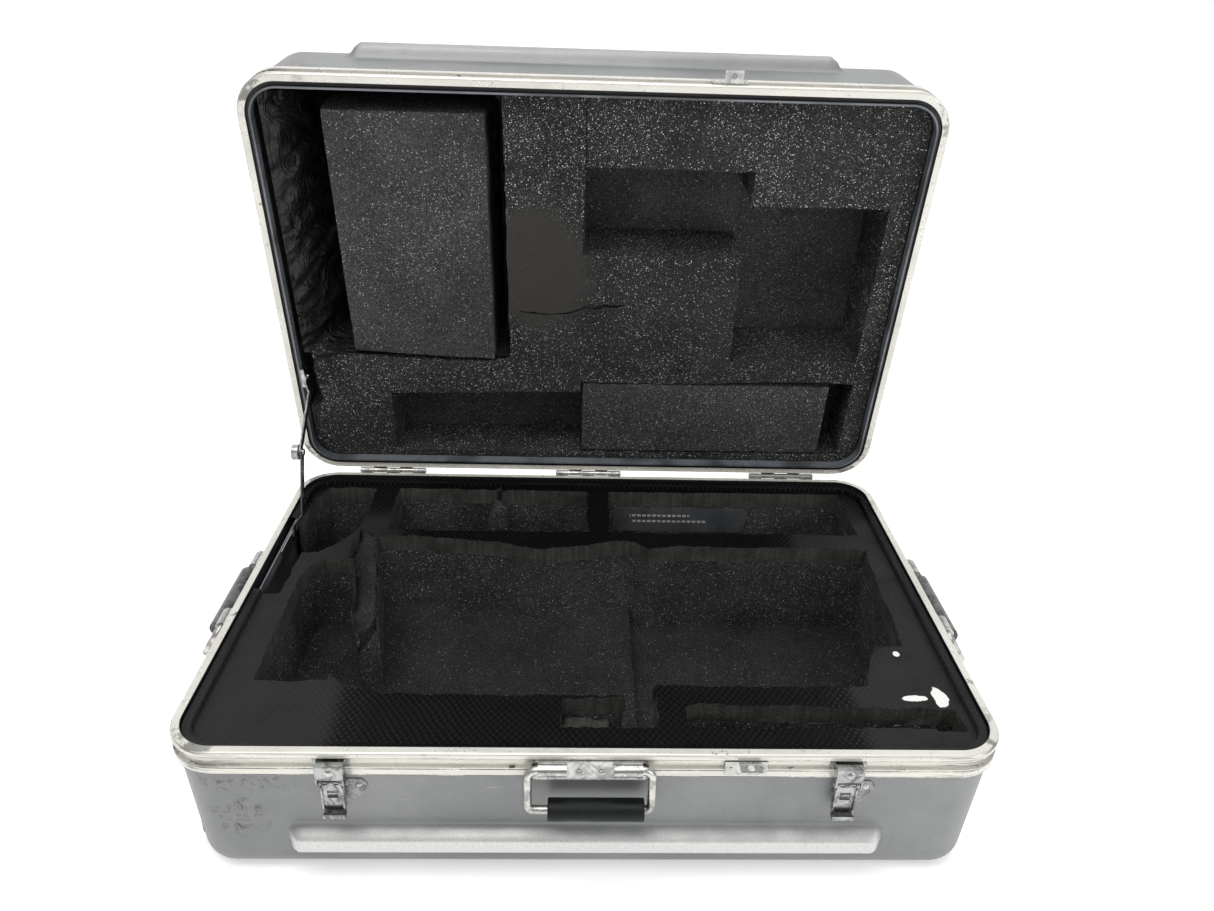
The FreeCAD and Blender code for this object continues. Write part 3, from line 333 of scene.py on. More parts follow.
def ribbed_skin():
    """Embossed film on the foam: small lozenges in rows, with a painted sheen near the ends, painted highlights on the
    lozenge tops and painted shade in their valleys.
    """
    p = Paint("embossed_foam_skin", 0.55, 0.0, Specular_IOR_Level=0.09)
    pitch, row_pitch = 2 * math.pi / 0.0068, 2 * math.pi / 0.0092
    wob = p.math("MULTIPLY", p.math("SUBTRACT", p.noise(14.0, 2.0), 0.5), 0.010)
    across = p.math("ADD", p.x, wob)
    down = p.math("ADD", p.y, wob)
    one = p.math("SINE", p.math("MULTIPLY", across, pitch))
    two = p.math("SINE", p.math("MULTIPLY", down, row_pitch))
    lozenge = p.math("MULTIPLY", one, two)
    rows = p.math("SINE", p.math("MULTIPLY", down, row_pitch * 2))
    cloud = p.noise(22.0, 5.0, 0.6)
    end = p.math("ABSOLUTE", p.math("SUBTRACT", p.x, 0.010))
    end = p.math("ADD", end, p.math("MULTIPLY", p.math("SUBTRACT", cloud, 0.5), 0.03))
    # painted sheen: the film is made lighter near the ends, fading towards the rear
    painted_sheen = p.ramp(end, 0.215, 0.262)
    rear = p.ramp(p.y, 0.150, 0.215, 1.0, 0.25)
    painted_sheen = p.math("MULTIPLY", painted_sheen, rear)
    ridge = p.ramp(lozenge, 0.05, 0.75)
    turn = p.math("MULTIPLY", p.math("MULTIPLY", painted_sheen, p.math("SUBTRACT", 1.0, painted_sheen)), 4.0)
    base = p.mix(painted_sheen, (0.0012, 0.0014, 0.0014), (0.0215, 0.0225, 0.0225))
    # painted shade in the lozenge valleys where the painted sheen fades
    base = p.mix(p.math("MULTIPLY", turn, p.ramp(ridge, 1.0, 0.0, 0.0, 0.9)), base, (0.0010, 0.0010, 0.0010))
    # painted highlights on the lozenge tops within the painted sheen
    base = p.mix(p.math("MULTIPLY", ridge, p.ramp(painted_sheen, 0.0, 0.5, 0.15, 0.22)), base, (0.040, 0.041, 0.040))
    base = p.mix(p.ramp(rows, 0.2, 1.0, 0.0, 0.25), base, (0.005, 0.0052, 0.005))
    base = p.mix(p.ramp(cloud, 0.55, 0.8, 0.0, 0.6), base, (0.004, 0.004, 0.004))
    ragged = p.math("MULTIPLY", p.math("SUBTRACT", p.noise(90.0, 4.0), 0.5), 1.6)
    for centre, radii in (((0.326, -0.103, 0.154), (0.0052, 0.0062, 0.02)),
                          ((0.325, -0.171, 0.154), (0.017, 0.006, 0.02)),
                          ((0.350, -0.170, 0.154), (0.011, 0.019, 0.02))):
        torn = p.ramp(p.math("ADD", p.near(centre, radii), ragged), 0.35, 0.5)
        torn = p.math("MULTIPLY", torn, p.ramp(p.near(centre, radii), 0.0, 0.15))
        base = p.mix(torn, base, (0.85, 0.86, 0.83))
    p.bump(p.math("MULTIPLY", lozenge, p.ramp(painted_sheen, 0.3, 1.0, 1.0, 0.45)), 0.0005, 0.8)
    p.bump(p.noise(600.0, 2.0), 0.0002, 0.5)
    return p.finish(base, p.ramp(cloud, 0.3, 0.7, 0.5, 0.66))


def plastic(name, dark, light, rough, grain=900.0, **uniform):
    p = Paint(name, rough, 0.0, **uniform)
    cloud = p.noise(60.0, 4.0, 0.6)
    fine = p.noise(grain, 2.0, 0.6)
    wear = p.noise(1.0, 5.0, 0.7, p.stretch((60.0, 260.0, 260.0)))
    colour = p.mix(p.ramp(cloud, 0.3, 0.7), dark, light)
    colour = p.mix(p.ramp(wear, 0.64, 0.74, 0.0, 0.3), colour, tuple(min(1.0, v * 3 + 0.05) for v in light))
    p.bump(fine, 0.00012, 0.5)
    return p.finish(colour, p.ramp(cloud, 0.3, 0.7, rough * 0.8, rough * 1.25))


def film():
    p = Paint("black_lining_film", 0.36, 0.0, Specular_IOR_Level=0.55)
    cloud = p.noise(30.0, 4.0, 0.6)
    crease = p.noise(120.0, 5.0, 0.7, None, 1.5)
    weave = p.cells(900.0)
    dust = p.noise(260.0, 6.0, 0.75)
    colour = p.mix(p.ramp(cloud, 0.3, 0.7), (0.006, 0.0063, 0.0068), (0.017, 0.017, 0.018))
    colour = p.mix(p.ramp(dust, 0.66, 0.76, 0.0, 0.4), colour, (0.12, 0.12, 0.115))
    p.bump(p.noise(26.0, 3.0, 0.55, None, 2.4), 0.010, 0.8)
    p.bump(crease, 0.0022, 0.6)
    p.bump(weave, 0.0002, 0.4)
    return p.finish(colour, p.ramp(cloud, 0.3, 0.7, 0.28, 0.5))


SHELL, SHELL_LID = shell_plastic(False), shell_plastic(True)
RIM, RIM_LID = rim_aluminium(False), rim_aluminium(True)
STEEL = plated_steel("plated_steel", (0.56, 0.56, 0.545), (0.33, 0.33, 0.32), 0.24)
LATCH = plated_steel("latch_steel", (0.42, 0.43, 0.42), (0.15, 0.155, 0.155), 0.22)
ROD = plated_steel("worn_rod_steel", (0.60, 0.59, 0.56), (0.31, 0.305, 0.29), 0.32)
DARK_STEEL = plated_steel("stay_link_steel", (0.20, 0.20, 0.20), (0.08, 0.08, 0.08), 0.3)
PLATE = plated_steel("worn_side_plate", (0.34, 0.34, 0.34), (0.17, 0.17, 0.17), 0.42)
FOAM = foam("cut_foam", (0.037, 0.038, 0.037), (0.064, 0.066, 0.064), 0.12, 0.75)
# painted shade: the pocket floors get a darker copy of the cut foam, with fewer and dimmer specks
FOAM_SHADED = foam("pocket_floor_foam_shaded", (0.020, 0.0205, 0.020), (0.034, 0.035, 0.034), 0.05, 0.40)
FOAM_LOOSE = foam("loose_block_foam", (0.047, 0.0485, 0.0475), (0.074, 0.076, 0.074), 0.16, 0.75)
FOAM_LID = foam("lid_cut_foam", (0.025, 0.0255, 0.025), (0.042, 0.043, 0.042), 0.20, 0.95,
                brown=((-0.068, -0.035, 0.175), (0.092, 0.115, 0.3)), closed=True)
FOAM_LID_DEEP = foam("lid_pocket_foam", (0.040, 0.041, 0.040), (0.066, 0.068, 0.066), 0.08, 0.6)
SHEET_EDGE = cut_sheet()
TORN_FACE = foam("torn_foam", (0.024, 0.0244, 0.024), (0.040, 0.0404, 0.039), 0.02, 0.3)
SKIN = ribbed_skin()
FILM = film()
RUBBER = plastic("black_rubber", (0.010, 0.010, 0.010), (0.022, 0.022, 0.022), 0.6)
GRIP_BLACK = plastic("black_grip", (0.004, 0.0055, 0.006), (0.009, 0.011, 0.012), 0.46, 1200.0, Specular_IOR_Level=0.22)
# painted sheen: the side grips are dark glossy rubber, made lighter grey here to stand in for the light they reflect
GRIP_GREY_SHEEN = plastic("grey_grip_painted_sheen", (0.045, 0.047, 0.046), (0.15, 0.153, 0.15), 0.30, 1200.0)

MATERIAL_OF = {
    "base_shell": SHELL, "lid_shell": SHELL_LID, "latch_": LATCH, "latch_plate": PLATE,
    "base_valance": RIM, "lid_valance": RIM_LID, "lid_gasket": RUBBER, "end_feet": RUBBER,
    "stay_upper": DARK_STEEL, "stay_lower": DARK_STEEL, "handle_bail": ROD,
    "handle_grip_front": GRIP_BLACK, "handle_grip": GRIP_GREY_SHEEN,
    "base_foam": FOAM, "lid_foam": FOAM, "foam_": FOAM, "lid_lining": FILM, "pocket_label": RUBBER,
}
SOFT_EDGE = {"latch_": 0.35, "handle_bracket": 0.8, "hinge_leaves": 0.35, "padlock": 0.35,
             "base_valance": 0.7, "lid_valance": 0.7, "stay_": 0.3, "lid_gasket": 0.6, "end_feet": 0.6}
for name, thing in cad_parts.items():
    keys = [key for key in MATERIAL_OF if name.startswith(key)]
    thing.data.materials.clear()
    thing.data.materials.append(MATERIAL_OF[max(keys, key=len)] if keys else STEEL)
    for polygon in thing.data.polygons:
        polygon.material_index = 0
    for key, width in SOFT_EDGE.items():
        if name.startswith(key):
            bevel = thing.modifiers.new("soft_edge", "BEVEL")
            bevel.width = width * MM
            bevel.segments = 3
            bevel.limit_method = "ANGLE"
            bevel.angle_limit = math.radians(35)
            bevel.harden_normals = False
            break


# ---------------------------------------------------------------- mesh helpers
FACE_Z = 175.7


def in_base(p):
    return p


def in_lid(p):
    """From the lid's own frame, where +Z comes out of the foam face, to the row frame."""
    return LID_TURN @ Vector((p[0], -p[1], FACE_Z - p[2]))


def make(name, points, faces, materials, indices=None, place=in_base, sharp=38.0, body="case_base",
         nodes=()):
    mesh = bpy.data.meshes.new(name)
    mesh.from_pydata([Vector(place(Vector(p))) * MM for p in points], [], faces)
    for material in materials:
        mesh.materials.append(material)
    if indices:
        mesh.polygons.foreach_set("material_index", indices)
    mesh.validate()
    mesh.update()
    mesh.shade_smooth()
    mesh.set_sharp_from_angle(angle=math.radians(sharp))
    thing = bpy.data.objects.new(name, mesh)
    bpy.context.scene.collection.objects.link(thing)
    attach(thing, body)
    if nodes:
        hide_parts(*nodes)
    return thing


def rounded(half_x, half_y, radius, steps=8):
    points = []
    for quarter, (sx, sy) in enumerate(((1, 1), (-1, 1), (-1, -1), (1, -1))):
        for step in range(steps + 1):
            angle = math.pi / 2 * (quarter + step / steps)
            points.append((sx * (half_x - radius) + radius * math.cos(angle),
                           sy * (half_y - radius) + radius * math.sin(angle)))
    return points


def rough_line(points, step, amount, seed, closed=True):
    """Points along the outline, pushed in and out a little as a hand-cut edge is."""
    result = []
    count = len(points) if closed else len(points) - 1
    for index in range(count):
        a, b = Vector(points[index]), Vector(points[(index + 1) % len(points)])
        run = b - a
        pieces = max(1, round(run.length / step))
        side = Vector((-run.y, run.x)).normalized() if run.length > 0 else Vector((0, 0))
        for piece in range(pieces):
            at = a + run * (piece / pieces)
            jag = noise.noise(Vector((at.x * 0.11, at.y * 0.11, seed)))
            fine = noise.noise(Vector((at.x * 0.45, at.y * 0.45, seed + 7.0)))
            result.append(tuple(at + side * amount * (jag + 0.55 * fine)))
    if not closed:
        result.append(tuple(points[-1]))
    return result


def contains(points, x, y):
    inside = False
    j = len(points) - 1
    for i, (xi, yi) in enumerate(points):
        xj, yj = points[j]
        if (yi > y) != (yj > y) and x < (xj - xi) * (y - yi) / (yj - yi) + xi:
            inside = not inside
        j = i
    return inside


class Region:
    def __init__(self, points, level, material=0, rough=0.0):
        self.points = points
        self.level = level
        self.material = material
        self.rough = rough
        xs, ys = [p[0] for p in points], [p[1] for p in points]
        self.low, self.high = (min(xs), min(ys)), (max(xs), max(ys))

    def holds(self, x, y):
        return (self.low[0] <= x <= self.high[0] and self.low[1] <= y <= self.high[1]
                and contains(self.points, x, y))


def terrace(outline, regions, bottom, spacing, fine_boxes=()):
    """Plan split into triangles, each with the region on top there; the first region is the ground."""
    points, edges = [], []
    for region in [Region(outline, 0)] + regions[1:]:
        start = len(points)
        points += [Vector(p) for p in region.points]
        count = len(region.points)
        edges += [(start + i, start + (i + 1) % count) for i in range(count)]
    low = [min(p[i] for p in outline) for i in (0, 1)]
    high = [max(p[i] for p in outline) for i in (0, 1)]
    boxes = [(low[0], low[1], high[0], high[1], spacing)] + list(fine_boxes)
    for x0, y0, x1, y1, step in boxes:
        for row in range(int((y1 - y0) / step)):
            for column in range(int((x1 - x0) / step)):
                x = x0 + (column + 0.5 + 0.25 * (row % 2)) * step
                y = y0 + (row + 0.5) * step
                if contains(outline, x, y):
                    points.append(Vector((x, y)))
    flat, _, triangles, _, _, _ = delaunay_2d_cdt(points, edges, [], 0, 0.05)
    tops = []
    kept = []
    for triangle in triangles:
        cx = sum(flat[i].x for i in triangle) / 3
        cy = sum(flat[i].y for i in triangle) / 3
        if not contains(outline, cx, cy):
            continue
        top = regions[0]
        for region in regions[1:]:
            if region.holds(cx, cy):
                top = region
        if top.level is None:
            continue
        kept.append(triangle)
        tops.append(top)
    return flat, kept, tops


def build_terrace(flat, triangles, tops, bottom, stations, wall_material, shape):
    """Tops, steps between them and a flat underside, as one closed mesh."""
    vertices, index_of = [], {}

    def vertex(i, level):
        key = (i, round(level, 3))
        if key not in index_of:
            index_of[key] = len(vertices)
            vertices.append([flat[i].x, flat[i].y, level])
        return index_of[key]

    faces, materials = [], []
    sides, levels_at = {}, {}
    for triangle, top in zip(triangles, tops):
        faces.append([vertex(i, top.level) for i in triangle])
        materials.append(top.material)
        faces.append([vertex(i, bottom) for i in reversed(triangle)])
        materials.append(wall_material(bottom, top))
        for i in triangle:
            levels_at.setdefault(i, set()).add(top.level)
        for a, b in zip(triangle, triangle[1:] + triangle[:1]):
            sides[(a, b)] = top
    walls = set()
    for (a, b), top in sides.items():
        other = sides.get((b, a))
        floor = bottom if other is None else other.level
        if floor >= top.level - 1e-6:
            continue
        walls.update((a, b))
        cuts = [floor] + [z for z in stations if floor + 0.5 < z < top.level - 0.5] + [top.level]
        for z0, z1 in zip(cuts, cuts[1:]):
            faces.append([vertex(b, z0), vertex(b, z1), vertex(a, z1), vertex(a, z0)][::-1])
            materials.append(wall_material((z0 + z1) / 2, top))
    rough_of = {}
    for triangle, top in zip(triangles, tops):
        for i in triangle:
            rough_of[(i, round(top.level, 3))] = max(rough_of.get((i, round(top.level, 3)), 0.0), top.rough)
    for (i, level), index in index_of.items():
        vertices[index] = shape(vertices[index], i in walls, rough_of.get((i, level), 0.0), bottom)
    return vertices, faces, materials


def foam_shape(wall_amount=1.3, top_amount=0.7):
    def shape(p, on_wall, rough, bottom):
        at = Vector(p)
        if p[2] <= bottom + 0.01:
            return p
        drift = noise.noise_vector(at * 0.02) * 0.6
        if on_wall:
            slow = noise.noise_vector(at * 0.035)
            quick = noise.noise_vector(at * 0.21)
            drift += Vector((slow.x, slow.y, 0)) * wall_amount + Vector((quick.x, quick.y, quick.z * 0.8)) * 0.4 * wall_amount
            drift.z *= 0.7
        else:
            drift = Vector((0, 0, noise.noise(at * 0.02) * top_amount + noise.noise(at * 0.09) * 0.3 * top_amount))
        if rough:
            lump = noise.fractal(at * 0.055 + Vector((3, 9, 1)), 0.7, 2.3, 5)
            ridge = abs(noise.noise(at * 0.13 + Vector((5, 2, 8))))
            drift.z += rough * (lump * 0.8 - ridge * 1.1)
            drift.x += rough * 0.25 * noise.noise(at * 0.1 + Vector((1, 1, 4)))
        return [p[0] + drift.x, p[1] + drift.y, p[2] + drift.z]
    return shape


# ---------------------------------------------------------------- base foam
MAIN_LEFT = [(-263, 111), (-236, 116), (-205, 115), (-150, 109), (-112, 105), (-86, 94), (-60, 89), (-36, 93),
             (0, 100), (28, 109), (45, 112), (60, 108), (60, -155), (56, -171), (0, -170), (-100, -170),
             (-200, -170), (-226, -165), (-246, -151), (-258, -140), (-262, -104), (-250, -72), (-234, -46),
             (-243, 0), (-252, 50)]
MAIN_RIGHT = [(54, 110), (66, 100), (75, 94), (88, 96), (110, 101), (180, 98), (240, 100), (330, 98), (347, 96),
              (343, 40), (340, -40), (336, -90), (306, -92), (291, -120), (281, -155), (160, -156),
              (69, -154), (54, -156)]
LOBE = [(-336, -152), (-300, -153), (-262, -150), (-256, -112), (-249, -75), (-262, -40), (-271, 18), (-282, 60),
        (-300, 62), (-318, 62), (-328, 54), (-336, 26), (-335, -60)]
TORN = [(-262, -112), (-251, -76), (-234, -50), (-214, -64), (-201, -100), (-206, -138), (-228, -163), (-247, -156),
        (-262, -140)]
REAR_LEFT = [(-361, 74), (-329, 77), (-312, 92), (-300, 110), (-289, 133), (-287, 180), (-287, 232), (-318, 235),
             (-352, 233), (-361, 205)]
REAR_MIDDLE = [(-259, 130), (-130, 129), (-1, 131), (-1, 233), (-60, 235), (-117, 233), (-122, 243), (-127, 233),
               (-190, 236), (-256, 234)]
REAR_RIGHT = [(27, 131), (150, 129), (262, 131), (346, 130), (345, 233), (300, 235), (220, 235), (120, 234),
              (27, 234)]
FRONT_CENTRE = [(-27, -214), (66, -214), (67, -154), (56, -152), (54, -166), (21, -173), (-27, -175)]
FRONT_SLOT = [(93, -212), (150, -214), (240, -213), (334, -214), (334, -186), (250, -184), (160, -183), (104, -180),
              (93, -186)]
SLOT_END = [(333, -217), (362, -216), (361, -187), (333, -185)]
STAY_WELL = [(-371.5, -8), (-349, -8), (-348, 60), (-348.5, 143), (-371.5, 143)]
PARTITION = [(-288, 134), (-268, 119), (-252, 50), (-243, 0), (-234, -46), (-249, -75), (-262, -40), (-271, 18),
             (-282, 60), (-291, 66), (-291, 100)]

BLOCK_TOP = 132.0
SHEET_TOP = 154.0
outline = rounded(369.6, 242.0, 29.6)


def cut_line(points, seed, amount=0.9, step=5.0):
    return rough_line(points, step, amount, seed)


block_regions = [Region(outline, BLOCK_TOP, 0)]
for number, (points, level, rough) in enumerate((
        (STAY_WELL, 101.5, 0.0), (REAR_LEFT, 40.0, 1.5), (REAR_MIDDLE, 60.0, 0.5), (REAR_RIGHT, 60.0, 0.5),
        (LOBE, 60.0, 2.0), (MAIN_LEFT, 53.0, 1.2), (TORN, 64.0, 9.0), (MAIN_RIGHT, 32.0, 0.8),
        (FRONT_CENTRE, 84.0, 0.5), (FRONT_SLOT, 112.0, 1.5), (SLOT_END, 96.0, 0.5))):
    block_regions.append(Region(cut_line(points, number * 3.1), level, 1, rough))
stations = [float(z) for z in range(36, 152, 7)]
flat, triangles, tops = terrace(outline, block_regions, 26.0, 14.0,
                                [(-270, -168, -195, -15, 3.5), (-262, -170, 50, 110, 9.0)])
points, faces, indices = build_terrace(flat, triangles, tops, 26.0, stations, lambda z, top: 0,
                                       foam_shape(1.5, 1.4))
base_block = make("foam_block_cut", points, faces, [FOAM, FOAM_SHADED], indices,
                  nodes=("base_foam_block", "base_foam_floor"))

sheet_regions = [Region(outline, SHEET_TOP, 0)]
for number, points in enumerate((STAY_WELL, REAR_LEFT, REAR_MIDDLE, REAR_RIGHT, LOBE, MAIN_LEFT, TORN, MAIN_RIGHT,
                                 FRONT_CENTRE, FRONT_SLOT, SLOT_END, PARTITION)):
    sheet_regions.append(Region(cut_line(points, 40 + number * 2.3, 1.8, 3.2), None))
flat, triangles, tops = terrace(outline, sheet_regions, BLOCK_TOP, 9.0)
points, faces, indices = build_terrace(flat, triangles, tops, BLOCK_TOP + 0.2, [137.0, 142.0, 147.0, 151.0],
                                       lambda z, top: 1, foam_shape(1.8, 1.2))
top_sheet = make("foam_top_sheet", points, faces, [SKIN, SHEET_EDGE], indices, nodes=("base_foam_sheet",))


def lathe_strip(profile_at, rings):
    """Closed tube whose section changes along its length."""
    points, faces = [], []
    for number in range(rings + 1):
        t = number / rings
        section = profile_at(t)
        points += section
    count = len(profile_at(0.0))
    for number in range(rings):
        for k in range(count):
            a, b = number * count + k, number * count + (k + 1) % count
            faces.append((a, b, b + count, a + count))
    faces.append(tuple(reversed(range(count))))
    faces.append(tuple(range(rings * count, rings * count + count)))
    return points, faces


def along(points, t):
    runs = [(Vector(b) - Vector(a)).length for a, b in zip(points, points[1:])]
    want = t * sum(runs)
    for (a, b), run in zip(zip(points, points[1:]), runs):
        if want <= run + 1e-6:
            return Vector(a).lerp(Vector(b), want / run)
        want -= run
    return Vector(points[-1])


FLAP_RIGHT = [(-286, 131), (-268, 116), (-253, 50), (-244, 0), (-236, -44), (-246, -70)]
FLAP_LEFT = [(-288, 129), (-289, 92), (-281, 58), (-271, 16), (-262, -40), (-250, -73)]


def flap_section(t):
    right, left = along(FLAP_RIGHT, t), along(FLAP_LEFT, t)
    sag = 8.0 * math.sin(math.pi * min(1.0, t * 1.05)) + 22.0 * max(0.0, t - 0.82) / 0.18
    section = []
    count = 9
    for k in range(count):
        s = k / (count - 1)
        at = left.lerp(right, s)
        lift = 141.0 + 11.0 * s - sag * (1.0 - 0.55 * s) + 1.6 * math.sin(s * 3.1)
        rough = noise.noise_vector(Vector((at.x, at.y, lift)) * 0.12)
        section.append((at.x + rough.x * 0.8, at.y + rough.y * 0.8, lift + rough.z * 1.3))
    section.append((right.x + 0.4, right.y, BLOCK_TOP - 3.0))
    section.append((left.x - 0.4, left.y, BLOCK_TOP - 3.0))
    return section


points, faces = lathe_strip(flap_section, 46)
flap = make("foam_torn_flap", points, faces, [TORN_FACE], sharp=50.0)


def edge_stations():
    """Corner centre or side point, and outward direction, round the rim from the stay's foot back to it."""
    spots = [((-340.5, -9.0 - 204.0 * k / 19), (-1.0, 0.0)) for k in range(19)]
    for start, cx, cy in ((180, -340.5, -213.0), (270, 340.5, -213.0), (0, 340.5, 213.0), (90, -340.5, 213.0)):
        for step in range(11):
            angle = math.radians(start + 9 * step)
            spots.append(((cx, cy), (math.cos(angle), math.sin(angle))))
        if start == 180:
            spots += [((-340.5 + 681.0 * k / 60, -213.0), (0.0, -1.0)) for k in range(1, 60)]
        elif start == 270:
            spots += [((340.5, -213.0 + 426.0 * k / 38), (1.0, 0.0)) for k in range(1, 38)]
        elif start == 0:
            spots += [((340.5 - 681.0 * k / 60, 213.0), (0.0, 1.0)) for k in range(1, 60)]
    return spots + [((-340.5, 213.0 - 69.0 * k / 6), (-1.0, 0.0)) for k in range(1, 7)]


EDGE = edge_stations()
EDGE_SECTION = [(-9.4, 152.6), (-9.2, 158.6), (-8.4, 160.2), (-5.0, 161.0), (-1.4, 161.6), (-0.7, 161.0),
                (-5.0, 160.1), (-7.9, 159.5), (-8.25, 158.8), (-8.4, 152.6)]


def edge_section(t):
    (cx, cy), (nx, ny) = EDGE[round(t * (len(EDGE) - 1))]
    wave = 0.3 * noise.noise(Vector((cx + 38 * nx, cy + 38 * ny, 5.0)) * 0.05)
    return [(cx + nx * (38.0 + u), cy + ny * (38.0 + u), z + (wave if u > -7.0 else 0.0))
            for u, z in EDGE_SECTION]


points, faces = lathe_strip(edge_section, len(EDGE) - 1)
lapped = make("foam_sheet_lapped_edge", points, faces, [SKIN], sharp=50.0)


def foam_brick(name, low, high, nodes, body="case_base", place=in_base, step=6.0, corner=2.2, wob=0.9,
               material=None, bend=None):
    """Hand-cut block: a finely divided box with rounded edges and uneven faces."""
    material = material or FOAM
    counts = [max(2, int((b - a) / step)) for a, b in zip(low, high)]
    index_of, points, faces = {}, [], []

    def vertex(i, j, k):
        key = (i, j, k)
        if key not in index_of:
            p = [a + (b - a) * n / c for a, b, n, c in zip(low, high, key, counts)]
            centre = Vector([min(max(v, a + corner), b - corner) for v, a, b in zip(p, low, high)])
            out = Vector(p) - centre
            if out.length > 1e-6:
                p = centre + out.normalized() * corner
            p = Vector(p)
            p += noise.noise_vector(p * 0.03) * wob + noise.noise_vector(p * 0.2) * wob * 0.35
            if bend:
                p = bend(p)
            index_of[key] = len(points)
            points.append(p)
        return index_of[key]

    nx, ny, nz = counts
    for i in range(nx):
        for j in range(ny):
            faces.append((vertex(i, j, 0), vertex(i, j + 1, 0), vertex(i + 1, j + 1, 0), vertex(i + 1, j, 0)))
            faces.append((vertex(i, j, nz), vertex(i + 1, j, nz), vertex(i + 1, j + 1, nz), vertex(i, j + 1, nz)))
    for i in range(nx):
        for k in range(nz):
            faces.append((vertex(i, 0, k), vertex(i + 1, 0, k), vertex(i + 1, 0, k + 1), vertex(i, 0, k + 1)))
            faces.append((vertex(i, ny, k), vertex(i, ny, k + 1), vertex(i + 1, ny, k + 1), vertex(i + 1, ny, k)))
    for j in range(ny):
        for k in range(nz):
            faces.append((vertex(0, j, k), vertex(0, j, k + 1), vertex(0, j + 1, k + 1), vertex(0, j + 1, k)))
            faces.append((vertex(nx, j, k), vertex(nx, j + 1, k), vertex(nx, j + 1, k + 1), vertex(nx, j, k + 1)))
    thing = make(name, points, faces, [material], place=place, body=body, nodes=nodes, sharp=60.0)
    return thing


def house_top(p):
    share = max(0.0, (p.z - 112.0) / 26.0)
    narrow = 1.0 - 0.62 * share * share
    return Vector((-122.0 + (p.x + 122.0) * narrow, p.y + 3.0 * share, p.z))


def torn_top(p):
    share = max(0.0, (p.z - 112.0) / 25.0)
    dip = noise.fractal(Vector((p.x, p.y, 3.0)) * 0.08, 0.7, 2.2, 4)
    return Vector((p.x, p.y, p.z - share * (4.0 + 9.0 * abs(dip))))


foam_brick("foam_divider_stop", (-136.5, 205.0, 60.5), (-107.5, 231.5, 138.5), ("foam_divider",), step=4.0,
           bend=house_top)
foam_brick("foam_filler_torn", (-26.4, -213.4, 84.5), (19.6, -175.0, 137.5), ("foam_filler",), step=3.0,
           bend=torn_top, material=SHEET_EDGE)


# ---------------------------------------------------------------- moulded shells
def ring(reach, rise=None):
    """Outline at one reach from the lip; the straight runs keep their length at every reach."""
    points = []
    radius = 38.0 + reach
    for quarter, (sx, sy) in enumerate(((1, 1), (-1, 1), (-1, -1), (1, -1))):
        for step in range(11):
            angle = math.pi / 2 * (quarter + step / 10)
            points.append((sx * 340.5 + radius * math.cos(angle), sy * 213.0 + radius * math.sin(angle)))
        count = 120 if quarter % 2 == 0 else 24
        a = points[-1]
        following = math.pi / 2 * (quarter + 1)
        tx, ty = ((-1, 1), (-1, -1), (1, -1), (1, 1))[quarter]
        b = (tx * 340.5 + radius * math.cos(following), ty * 213.0 + radius * math.sin(following))
        for step in range(1, count):
            t = step / count
            points.append((a[0] + (b[0] - a[0]) * t, a[1] + (b[1] - a[1]) * t))
    if rise:
        points = [(x, y + math.copysign(rise(x, y), y)) for x, y in points]
    return points


def smooth(value, low, high):
    t = min(1.0, max(0.0, (value - low) / (high - low)))
    return t * t * (3 - 2 * t)


def moulded_shell(name, node, rim, way, depth, place, body, material):
    tangent = math.tan(math.radians(2.8))
    points, faces = [], []

    def rib_at(v):
        across = smooth(-abs(v - 114.0), -19.0, -6.5)
        return lambda x, y: 13.5 * across * smooth(-abs(x), -287.0, -273.0) if abs(y) > 245.0 else 0.0

    def wall(offset, last, ribbed):
        bend = 26.0 - offset
        stations = [18.0 + (last - bend - 18.0) * k / 56 for k in range(57)]
        reach_low = 5.5 - offset - (last - bend - 18.0) * tangent
        rings = [(v, 5.5 - offset - (v - 18.0) * tangent) for v in stations]
        for k in range(1, 9):
            angle = math.pi / 2 * k / 8
            rings.append((last - bend + bend * math.sin(angle), reach_low - bend + bend * math.cos(angle)))
        return [[(x, y, rim + way * v) for x, y in ring(u, rib_at(v) if ribbed else None)] for v, u in rings]

    outer, inner = wall(0.0, depth, True), wall(3.5, depth - 4.0, False)
    count = len(outer[0])
    for loops, flip in ((outer, way > 0), (inner, way < 0)):
        base = len(points)
        for loop in loops:
            points += loop
        for row in range(len(loops) - 1):
            for k in range(count):
                a, b = base + row * count + k, base + row * count + (k + 1) % count
                face = (a, b, b + count, a + count)
                faces.append(face if flip else face[::-1])
        last = base + (len(loops) - 1) * count
        cap = tuple(range(last, last + count))
        faces.append(cap if flip else cap[::-1])
    start = len(outer) * count
    for k in range(count):
        face = (k, start + k, start + (k + 1) % count, (k + 1) % count)
        faces.append(face if way > 0 else face[::-1])
    return make(name, points, faces, [material], place=place, body=body, nodes=(node,),
                sharp=50.0)


moulded_shell("moulded_base", "base_shell", 165.0, -1, 165.0, in_base, "case_base", SHELL)
moulded_shell("moulded_lid", "lid_shell", 165.5, 1, 145.0, lambda p: LID_TURN @ p, "lid", SHELL_LID)


# ---------------------------------------------------------------- lid foam
lid_outline = [(x, -y) for x, y in reversed(rounded(370.9, 243.4, 30.4))]


def lid_plan(points):
    """Closed-frame (x, y) points to the lid's own frame."""
    return [(x, -y) for x, y in reversed(points)]


